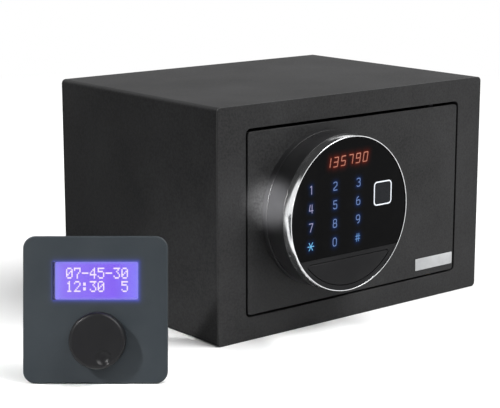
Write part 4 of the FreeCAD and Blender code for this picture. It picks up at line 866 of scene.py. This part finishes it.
# Four numbers are a straight run's two ends. Six are a round run's middle, half axes and angles.
KEY_SHAPES = {
    "1": [(-1.0, 2.6, 0.35, 3.4), (0.35, 3.4, 0.35, -3.4)],
    "2": [(0, 1.7, 1.85, 1.7, 160, -45), (1.5, 0.35, -1.75, -2.1), (-1.75, -2.1, -1.75, -3.35),
          (-1.75, -3.35, 1.95, -3.35)],
    "3": [(0, 1.75, 1.85, 1.65, 155, -90), (0, -1.65, 1.95, 1.75, 90, -155)],
    "4": [(1.0, 3.4, 1.0, -3.4), (-1.1, 3.4, -2.0, -1.5), (-2.0, -1.5, 2.1, -1.5)],
    "5": [(1.8, 3.4, -1.6, 3.4), (-1.6, 3.4, -1.65, 0.45), (0, -1.4, 1.9, 2.0, 128, -155)],
    "6": [(0, -1.4, 1.95, 2.0, 0, 360), (1.6, -1.2, 3.55, 4.6, 180, 100)],
    "7": [(-1.95, 3.4, 1.95, 3.4), (1.95, 3.4, -0.7, -3.4)],
    "8": [(0, 1.75, 1.7, 1.65, 0, 360), (0, -1.65, 1.95, 1.75, 0, 360)],
    "9": [(0, 1.4, 1.95, 2.0, 0, 360), (-1.6, 1.2, 3.55, 4.6, 0, -80)],
    "0": [(0, 0, 1.9, 3.4, 0, 360)],
    "*": [(-3.3, 0, 3.3, 0), (-1.9, -3.1, 1.9, 3.1), (-1.9, 3.1, 1.9, -3.1)],
    "#": [(-1.2, -3.2, -0.8, 3.2), (0.9, -3.2, 1.3, 3.2), (-2.3, 1.2, 2.4, 1.2), (-2.4, -1.2, 2.3, -1.2)],
}
KEY_ORDER = "123456789*0#"


def on_glass(flat, rise):
    """Flat points about the head's centre to places just in front of the glass."""
    return stacked(HEAD_X + flat[..., 0], glass_front - PRINT_LIFT * 1.5 - rise, HEAD_Z + flat[..., 1])


def ribbon(path, half):
    """A stroke with round ends in front of the glass: the path widened to both sides.

    The path is drawn out by half at each end. At a distance d from an end, under half, the width is
    the square root of half squared less (half - d) squared."""
    ahead = unit(np.gradient(path, axis=0))
    tip = np.linspace(1, 0, 6)[:-1, None] * half
    long = np.concatenate([path[:1] - ahead[:1] * tip, path, path[-1:] + ahead[-1:] * tip[::-1]])
    course = np.concatenate([np.repeat(ahead[:1], 5, axis=0), ahead, np.repeat(ahead[-1:], 5, axis=0)])
    step = np.linalg.norm(np.diff(long, axis=0), axis=1)
    run = np.concatenate([[0], np.cumsum(step)])
    near_end = np.clip(np.minimum(run, run[-1] - run), 0, half)
    width = np.sqrt(np.clip(half ** 2 - (half - near_end) ** 2, (0.02 * half) ** 2, None))
    sideways = stacked(-course[:, 1], course[:, 0])
    across = np.array([-1.0, 0.0, 1.0])
    grid = long[:, None, :] + sideways[:, None, :] * (width[:, None] * across)[..., None]
    return on_glass(grid, 0.5 * PRINT_LIFT * (1 - across ** 2))


def sheet_mesh(name, grids):
    """One piece from several grids of places, each quad joining the neighbours of its grid."""
    faces, start = [], 0
    for grid in grids:
        count = grid.shape[0] * grid.shape[1]
        faces += quads_of(start + np.arange(count).reshape(grid.shape[:2])).tolist()
        start += count
    return mesh_piece(name, np.concatenate([grid.reshape(-1, 3) for grid in grids]), faces)


def store_values(piece, label, values):
    """Keep one number for each of a piece's points."""
    store = piece.data.attributes.new(label, "FLOAT", "POINT")
    store.data.foreach_set("value", values.astype(np.float32).ravel())


def lit_print(name, colours, axis, low, high):
    """Light through a print: its colour goes through the given colours along one axis."""
    node, place, finish = new_material(name)
    along = ramp(node, node("SeparateXYZ", {0: place}).outputs[axis], low, high)
    grain = blotches(node, place, 900, 3, 0.3, 0.7)
    lively = between(node, stretched(node, grain, 0.0, 0.15), between(node, along, *colours), WHITE)
    return finish((0.02, 0.02, 0.03, 1), 0.2, shine=0.1, lit=(lively, 1.0))


def key_strokes(wanted):
    """The strokes of the wanted keys, each moved to its key's column and row."""
    strokes = []
    for number, key in enumerate(KEY_ORDER):
        for run in KEY_SHAPES[key] if key in wanted else []:
            stroke = straight_stroke(*run) if len(run) == 4 else round_stroke(*run)
            strokes.append(stroke + [KEY_COLUMNS[number % 3], KEY_ROWS[number // 3]])
    return strokes


def lit_strokes(name, strokes, half, light):
    """Flat ribbons along the strokes, just in front of the glass."""
    prints = sheet_mesh(name, [ribbon(path, half) for path in strokes])
    return hang_on(prints, "lock_head", "display", light)


key_light_span = ("X", HEAD_X + KEY_COLUMNS[0] + 3 * MM, HEAD_X + KEY_COLUMNS[1])
digit_keys = key_strokes("0123456789")
sign_keys = key_strokes("*#")
lit_strokes("key_digits", digit_keys, KEY_STROKE,
            lit_print("key_light", ((0.31, 0.28, 0.46, 1), (0.085, 0.18, 0.44, 1)), *key_light_span))
lit_strokes("key_signs", sign_keys, KEY_STROKE,
            lit_print("sign_light", ((0.10, 0.50, 0.85, 1), (0.04, 0.20, 0.50, 1)), *key_light_span))

DIGIT_MIDDLE = np.mean(corners_of("led_display"), axis=0)
DIGIT_SHIFT = -1.5 * MM
DIGIT_PITCH = 8.4 * MM
DIGIT_HALF_WIDE = 2.25 * MM
DIGIT_HALF_HIGH = 3.9 * MM
DIGIT_BAR = 0.34 * MM
DIGIT_DRAWN_IN = 0.84     # how much of a side each bar takes up
DIGIT_SLANT = 0.17
DIGIT_CLIMB = 0.022       # the printed line climbs a little to the right
SHOWN = "135790"
BARS = {"0": "abcdef", "1": "bc", "3": "abgcd", "5": "afgcd", "7": "abc", "9": "abcdfg"}
BAR_ENDS = {"a": (-1, 1, 1, 1), "b": (1, 1, 1, 0), "c": (1, 0, 1, -1), "d": (-1, -1, 1, -1),
            "e": (-1, 0, -1, -1), "f": (-1, 1, -1, 0), "g": (-1, 0, 1, 0)}


def bar_stroke(place, bar):
    """One bar of a digit: from corner to corner of the digit's box, drawn in a little, then slanted."""
    ends = np.array(BAR_ENDS[bar], float).reshape(2, 2) * [DIGIT_HALF_WIDE, DIGIT_HALF_HIGH]
    drawn_in = ends.mean(axis=0) + (ends - ends.mean(axis=0)) * DIGIT_DRAWN_IN
    path = drawn_in[0] + np.linspace(0, 1, 12)[:, None] * (drawn_in[1] - drawn_in[0])
    path[:, 0] += DIGIT_SLANT * path[:, 1] + (place - (len(SHOWN) - 1) / 2) * DIGIT_PITCH
    path[:, 1] += DIGIT_CLIMB * path[:, 0]
    return path + [DIGIT_MIDDLE[0] - HEAD_X + DIGIT_SHIFT, DIGIT_MIDDLE[2] - HEAD_Z]


digit_bars = [bar_stroke(place, bar) for place, digit in enumerate(SHOWN) for bar in BARS[digit]]
lit_strokes("display_digits", digit_bars, DIGIT_BAR,
            lit_print("digit_light", ((0.50, 0.135, 0.05, 1), (0.60, 0.19, 0.09, 1)), "Z",
                      DIGIT_MIDDLE[2] - DIGIT_HALF_HIGH, DIGIT_MIDDLE[2] + DIGIT_HALF_HIGH))

# The glass glows softly round each lit stroke, because it is a little cloudy. This glow is painted
# light: it lies on thin films with the glass's own gloss, a hair in front of it.

FILM_STEP = 0.5 * MM
FILM_EDGE = 6.0 * MM
NEAR_GLOW = 0.75          # share of the glow in the narrow hill, the rest is in the wide one


def glow_film(name, strokes, reach, light):
    """A film over the strokes: a grid of equal steps with the glow as a value on each point.

    The glow is the sum of two hills over the distance to the nearest stroke: one that falls with
    reach and a low wide one that falls with three times reach, both as exp(-(distance/reach)^2)."""
    points = np.concatenate(strokes)
    low, high = points.min(axis=0) - FILM_EDGE, points.max(axis=0) + FILM_EDGE
    x, z = np.meshgrid(np.arange(low[0], high[0], FILM_STEP), np.arange(low[1], high[1], FILM_STEP))
    flat = stacked(x, z)
    away = np.full(x.shape, 1.0)
    for stroke in strokes:
        for place in stroke[::3]:
            away = np.minimum(away, np.hypot(x - place[0], z - place[1]))
    glow = NEAR_GLOW * np.exp(-(away / reach) ** 2) + (1 - NEAR_GLOW) * np.exp(-(away / (3 * reach)) ** 2)
    film = sheet_mesh(name, [on_glass(flat, -PRINT_LIFT)])
    store_values(film, "glow", glow)
    return hang_on(film, "lock_head", "black_glass", light)


glow_film("key_glow", digit_keys + sign_keys, 0.9 * MM,
          smoked_glass("key_glow", *GLASS_GLOSS, (0.004, 0.025, 0.11, 1)))
glow_film("digit_glow", digit_bars, 1.1 * MM, smoked_glass("digit_glow", *GLASS_GLOSS, (0.13, 0.010, 0.002, 1)))

# Behind the glass lie the display block, the round board and the reader: a dark square with a
# raised dot pattern, framed by a white light guide that stands flush with the glass.


def light_guide():
    """Milky plastic that lets the light of the frame through: white, smooth and faintly glowing."""
    node, place, finish = new_material("light_guide")
    milk = blotches(node, place, 260, 4, 0.35, 0.65)
    return finish(between(node, milk, (0.62, 0.64, 0.68, 1), (0.78, 0.80, 0.84, 1)),
                  stretched(node, milk, 0.28, 0.40),
                  lit=(between(node, milk, (0.66, 0.70, 0.76, 1), (0.78, 0.82, 0.88, 1)), 0.7))


def reader_face():
    """The reader: a black window with rows of fine dots, painted bluish as a highlight where they catch the light.
    """
    node, place, finish = new_material("reader_face")
    dots = node("TexVoronoi", {"Vector": place, "Scale": 900, "Randomness": 0.0})
    dot = ramp(node, dots.outputs["Distance"], 0.42, 0.30)
    return finish(between(node, dot, (0.004, 0.005, 0.007, 1), (0.010, 0.012, 0.018, 1)),
                  stretched(node, dot, 0.16, 0.30), raised(node, dot, 0.3, 0.05 * MM), 0.15)


guide = light_guide()
eased_sheet("sensor_frame", "lock_head", "white_plastic", guide, 0.12 * MM)
finish_nodes(guide, "encoder_plunger")
finish_nodes(reader_face(), "fingerprint_sensor")
finish_nodes(smoked_glass("display_block", (0.20, 0.35), 0.3), "led_display")

# ------------------------------------------------------------
# The timer control stands by itself in front of the safe and leans back on its housing. Its slate
# front plate and the housing behind it are moulded, and four screws from the back hold them.

knob_joint = [joint for joint in frame["joints"] if joint["name"] == "knob_turn"][0]
OUTWARD = unit(np.array(knob_joint["axis"]))
ALONG = np.array([-OUTWARD[1], OUTWARD[0], 0.0]) / np.hypot(OUTWARD[0], OUTWARD[1])
UPWARD = np.cross(OUTWARD, ALONG)
KNOB_PLACE = np.array([2.4, 33.9, 0.0]) * MM


def on_timer(points):
    """Points given as along, up and out from the middle of the front plate's foot, as places."""
    return np.array(knob_joint["pos_m"]) + (points - KNOB_PLACE) @ np.array([ALONG, UPWARD, OUTWARD])


SLATE = ((0.022, 0.029, 0.035, 1), (0.029, 0.036, 0.042, 1), (0.40, 0.54), 0.30)
slate = moulded("slate_moulding", *SLATE)
eased_sheet("timer_front", "timer", "timer_paint", slate, 0.25 * MM)
eased_sheet("timer_housing", "timer", "timer_paint", slate, 0.4 * MM)
TIMER_DEEP = 28 * MM
TIMER_HIGH = 113.3 * MM
SCREW_SIDE = 43.8 * MM
SCREW_UP = 44.75 * MM
REAR_SCREW_LONG = 25 * MM
rear_seats = [on_timer(np.array([side * SCREW_SIDE, TIMER_HIGH / 2 + up * SCREW_UP, -TIMER_DEEP]))
              for side in (-1, 1) for up in (-1, 1)]
rear_screws = cross_head_screws("timer_screws_cross", rear_seats, -OUTWARD, REAR_SCREW_LONG)
hang_on(rear_screws, "timer", "steel", zinc, "timer_screws")

# A clear pane closes the window from behind, and a blue-violet liquid crystal display of two lines
# of eight characters lies under it.

WINDOW_MIDDLE = np.array([0.0, 78.9]) * MM
WINDOW_SIZE = np.array([65.8, 29.3]) * MM
WINDOW_LAP = 3.0 * MM
PLATE_THICK = 3.0 * MM
PANE_THICK = 0.8 * MM
LIT_LEVEL = -4.14 * MM
LIT_MIDDLE = np.array([0.65, 78.8]) * MM
LIT_SIZE = np.array([64.1, 29.2]) * MM
LIT_CORNER = 1.6 * MM

# Clear acrylic has a breath of haze and the odd fine scratch.
clear_acrylic = two_toned("clear_acrylic", (80, 4, 0.45, 0.8), (1.0, 1.0, 1.0, 1), (0.93, 0.94, 0.96, 1),
                          (0.0, 0.05), (900, 3, 0.02, 0.02 * MM), shine=0.25,
                          others={"IOR": 1.49, "Transmission Weight": 1.0})
PANE_CORNER = 1.0 * MM
PANE_BEVEL = 0.2 * MM
pane_rings = []
for inset, depth in ((PANE_BEVEL, PANE_THICK), (0.0, PANE_THICK - PANE_BEVEL),
                     (0.0, PANE_BEVEL), (PANE_BEVEL, 0.0)):
    flat = rounded_ring(*(WINDOW_SIZE + 2 * WINDOW_LAP), PANE_CORNER, inset) + WINDOW_MIDDLE
    pane_rings.append(np.insert(flat, 2, -PLATE_THICK - depth, axis=1))
pane = skin("clear_pane", on_timer(np.array(pane_rings)))
hang_on(pane, "timer", "clear_pane", clear_acrylic, "timer_window")


def lit_screen():
    """The lit glass: a violet blue field, paler at both ends, and navy outside its rounded edge."""
    node, _, finish = new_material("lit_screen")
    run = node("SeparateXYZ", {0: node("UVMap").outputs[0]}).outputs["X"]
    field = colour_bands(node, run, (0.0, (0.26, 0.26, 1.0, 1)), (0.16, (0.235, 0.13, 0.95, 1)),
                         (0.70, (0.19, 0.062, 0.93, 1)), (1.0, (0.21, 0.19, 1.0, 1)))
    away = node("Attribute", attribute_name="outside").outputs["Fac"]
    dim = ramp(node, away, -2.4, 0.1)
    rim = ramp(node, away, -0.2, 0.3)
    paler = between(node, dim, field, (0.20, 0.19, 0.90, 1))
    light = between(node, rim, paler, (0.002, 0.0015, 0.085, 1))
    return finish(between(node, rim, (0.02, 0.01, 0.06, 1), (0.002, 0.002, 0.02, 1)),
                  stretched(node, rim, 0.2, 0.3), shine=0.1, lit=(light, 0.92))


def screen_sheet():
    """The lit field: a grid along and up at one level, with its own map from 0 to 1 both ways.

    Each point also holds how far it is outside the lit field, in millimetres: the length of what
    is left of its distances past the straight sides, less the corner's radius."""
    low = WINDOW_MIDDLE - WINDOW_SIZE / 2 - WINDOW_LAP * 0.9
    high = WINDOW_MIDDLE + WINDOW_SIZE / 2 + WINDOW_LAP * 0.9
    share_x, share_y = np.meshgrid(np.linspace(0, 1, 145), np.linspace(0, 1, 73))
    along = low[0] + share_x * (high[0] - low[0])
    up = low[1] + share_y * (high[1] - low[1])
    screen = sheet_mesh("lit_screen", [on_timer(stacked(along, up, LIT_LEVEL))])
    uv = screen.data.uv_layers.new(name="UVMap")
    corners = np.zeros(len(screen.data.loops), dtype=np.int32)
    screen.data.loops.foreach_get("vertex_index", corners)
    shares = stacked(share_x.ravel(), share_y.ravel())[corners]
    uv.data.foreach_set("uv", shares.astype(np.float32).ravel())
    past_x = np.abs(along - LIT_MIDDLE[0]) - LIT_SIZE[0] / 2 + LIT_CORNER
    past_y = np.abs(up - LIT_MIDDLE[1]) - LIT_SIZE[1] / 2 + LIT_CORNER
    outside = np.hypot(np.maximum(past_x, 0), np.maximum(past_y, 0)) + np.minimum(np.maximum(past_x, past_y), 0)
    store_values(screen, "outside", (outside - LIT_CORNER) / MM)
    return screen


hang_on(screen_sheet(), "timer", "display", lit_screen())

# The screen's light spills on to the plate round the window, less on the left, where the screen lies
# a little away from the edge. This spill is painted light, on a thin film of the plate's own finish.

SPILL_FAR = 6.0 * MM
SPILL_REACH = 1.05 * MM
SPILL_LEFT = 0.33         # the share of the glow that is left at the window's left edge
WINDOW_CORNER = 0.6 * MM


def spill_film():
    """Rings round the window's edge, a hair in front of the plate.

    The glow falls as exp(-distance/reach), and fades to its share on the left over 1 mm."""
    away = 0.05 * MM + SPILL_FAR * np.linspace(0, 1, 15) ** 1.6
    flat = np.array([rounded_ring(*WINDOW_SIZE, WINDOW_CORNER, -distance) for distance in away])
    index = np.arange(flat.shape[0] * flat.shape[1]).reshape(flat.shape[:2])
    faces = quads_of(np.concatenate([index, index[:, :1]], axis=1).T).tolist()
    film = mesh_piece("window_spill", on_timer(np.insert(flat + WINDOW_MIDDLE, 2, PRINT_LIFT, axis=2)), faces)
    left = np.clip((-flat[..., 0] - WINDOW_SIZE[0] / 2 + 1 * MM) / (1 * MM), 0, 1)
    store_values(film, "glow", np.exp(-away[:, None] / SPILL_REACH) * (1 - (1 - SPILL_LEFT) * left))
    return film


hang_on(spill_film(), "timer", "timer_paint", moulded("slate_spill", *SLATE, glow=(0.05, 0.06, 0.52, 1)))
finish_nodes(smoked_glass("display_glass", (0.15, 0.3), 0.3), "lcd_module")

CELLS = {
    "0": "01110 10001 10011 10101 11001 10001 01110", "1": "00100 01100 00100 00100 00100 00100 01110",
    "2": "01110 10001 00001 00010 00100 01000 11111", "3": "11111 00010 00100 00010 00001 10001 01110",
    "4": "00010 00110 01010 10010 11111 00010 00010", "5": "11111 10000 11110 00001 00001 10001 01110",
    "7": "11111 10001 00001 00010 00100 00100 00100", "-": "00000 00000 00000 11111 00000 00000 00000",
    ":": "00000 01100 01100 00000 01100 01100 00000", " ": "00000 00000 00000 00000 00000 00000 00000"}
LINES = (("07-45-30", 84.7 * MM), ("12:30  5", 74.4 * MM))
DOT_PITCH = np.array([1.03, 1.22]) * MM
DOT_SHARE = 0.94
CHARACTER_PITCH = 6.09 * MM
TEXT_MIDDLE = 0.9 * MM
DOT_RISE = 0.05 * MM


def dot_places():
    """The middle of each lit dot: the dot's column and row times the pitch, from its line's middle."""
    middles = []
    for text, height in LINES:
        for number, character in enumerate(text):
            rows = [[mark == "1" for mark in row] for row in CELLS[character].split()]
            row, column = np.nonzero(np.array(rows))
            along = TEXT_MIDDLE + (number - (len(text) - 1) / 2) * CHARACTER_PITCH + (column - 2) * DOT_PITCH[0]
            middles.append(stacked(along, height + (3 - row) * DOT_PITCH[1]))
    return np.concatenate(middles)


def character_dots():
    """Each dot is a low frustum: a grid of four by four points, its outer ring on the screen and its
    inner four raised by the dot's rise."""
    share = np.array([-0.5, -0.42, 0.42, 0.5]) * DOT_SHARE
    across, up = np.meshgrid(share * DOT_PITCH[0], share * DOT_PITCH[1])
    rise = np.zeros((4, 4))
    rise[1:3, 1:3] = DOT_RISE
    middles = dot_places()[:, :, None, None]
    grids = stacked(across + middles[:, 0], up + middles[:, 1], rise + LIT_LEVEL + 0.02 * MM)
    return sheet_mesh("screen_characters", list(on_timer(grids)))


hang_on(character_dots(), "timer", "display",
        lit_print("character_light", ((1.0, 0.86, 1.0, 1), (0.95, 0.78, 1.0, 1)), "Z", 0.06, 0.10))

# The setting knob is a hollow black cap with a rounded front edge and a hollow for a fingertip. It
# sits on the shaft of a push encoder by its hub.

KNOB_RADIUS = 21.6 * MM
KNOB_FOOT = 0.8 * MM
KNOB_FRONT = 14.8 * MM
KNOB_EDGE = 3.0 * MM
KNOB_SKIRT = 2.5 * MM
KNOB_FACE = 4.0 * MM
KNOB_CHAMFER = 0.3 * MM
HUB_RADIUS = 6.0 * MM
HUB_FOOT = 2.8 * MM
BORE_RADIUS = 3.02 * MM
BORE_END = 11.0 * MM
HOLLOW_PLACE = np.array([5.4, -12.4]) * MM
HOLLOW_BALL = 8.4 * MM
HOLLOW_DEEP = 2.9 * MM
HOLLOW_EASE = 0.12 * MM


def setting_knob():
    """The knob, as rings about its axis from the bore's end round to the middle of the face.

    Each ring has a radius and a level. On the face the level is the lower of the front and a ball
    whose centre lies above the hollow: centre level less the root of ball squared less the
    distance squared. The edge between them is eased by the mean of the difference and its length."""
    turn = np.linspace(0, np.pi / 2, 8)
    edge = [(KNOB_RADIUS - KNOB_EDGE * (1 - math.cos(a)), KNOB_FRONT - KNOB_EDGE * (1 - math.sin(a)))
            for a in turn]
    inside = KNOB_FRONT - KNOB_FACE
    section = [(0, BORE_END), (BORE_RADIUS, BORE_END), (BORE_RADIUS, HUB_FOOT), (HUB_RADIUS, HUB_FOOT),
               (HUB_RADIUS, inside), (KNOB_RADIUS - KNOB_SKIRT, inside), (KNOB_RADIUS - KNOB_SKIRT, KNOB_FOOT),
               (KNOB_RADIUS - KNOB_CHAMFER, KNOB_FOOT), (KNOB_RADIUS, KNOB_FOOT + KNOB_CHAMFER), *edge]
    section += [(radius, KNOB_FRONT) for radius in np.linspace(KNOB_RADIUS - KNOB_EDGE, 0, 74)[1:]]
    rings = revolved(np.array(section), 192)
    level = rings[..., 2]
    away = np.hypot(rings[..., 0] - HOLLOW_PLACE[0], rings[..., 1] - HOLLOW_PLACE[1])
    ball = KNOB_FRONT - HOLLOW_DEEP + HOLLOW_BALL - np.sqrt(np.clip(HOLLOW_BALL ** 2 - away ** 2, 0, None))
    sunk = level - ball
    sunk = (sunk + np.hypot(sunk, HOLLOW_EASE)) / 2
    rings[..., 2] -= np.where(level > inside + 1.0 * MM, sunk, 0)
    return skin("setting_knob", on_timer(rings + KNOB_PLACE))


knob_black = moulded("knob_black", (0.005, 0.005, 0.006, 1), (0.009, 0.009, 0.010, 1), (0.33, 0.41),
                     0.20, 0.03 * MM)
hang_on(setting_knob(), "timer_knob", "knob_black", knob_black, "timer_knob")
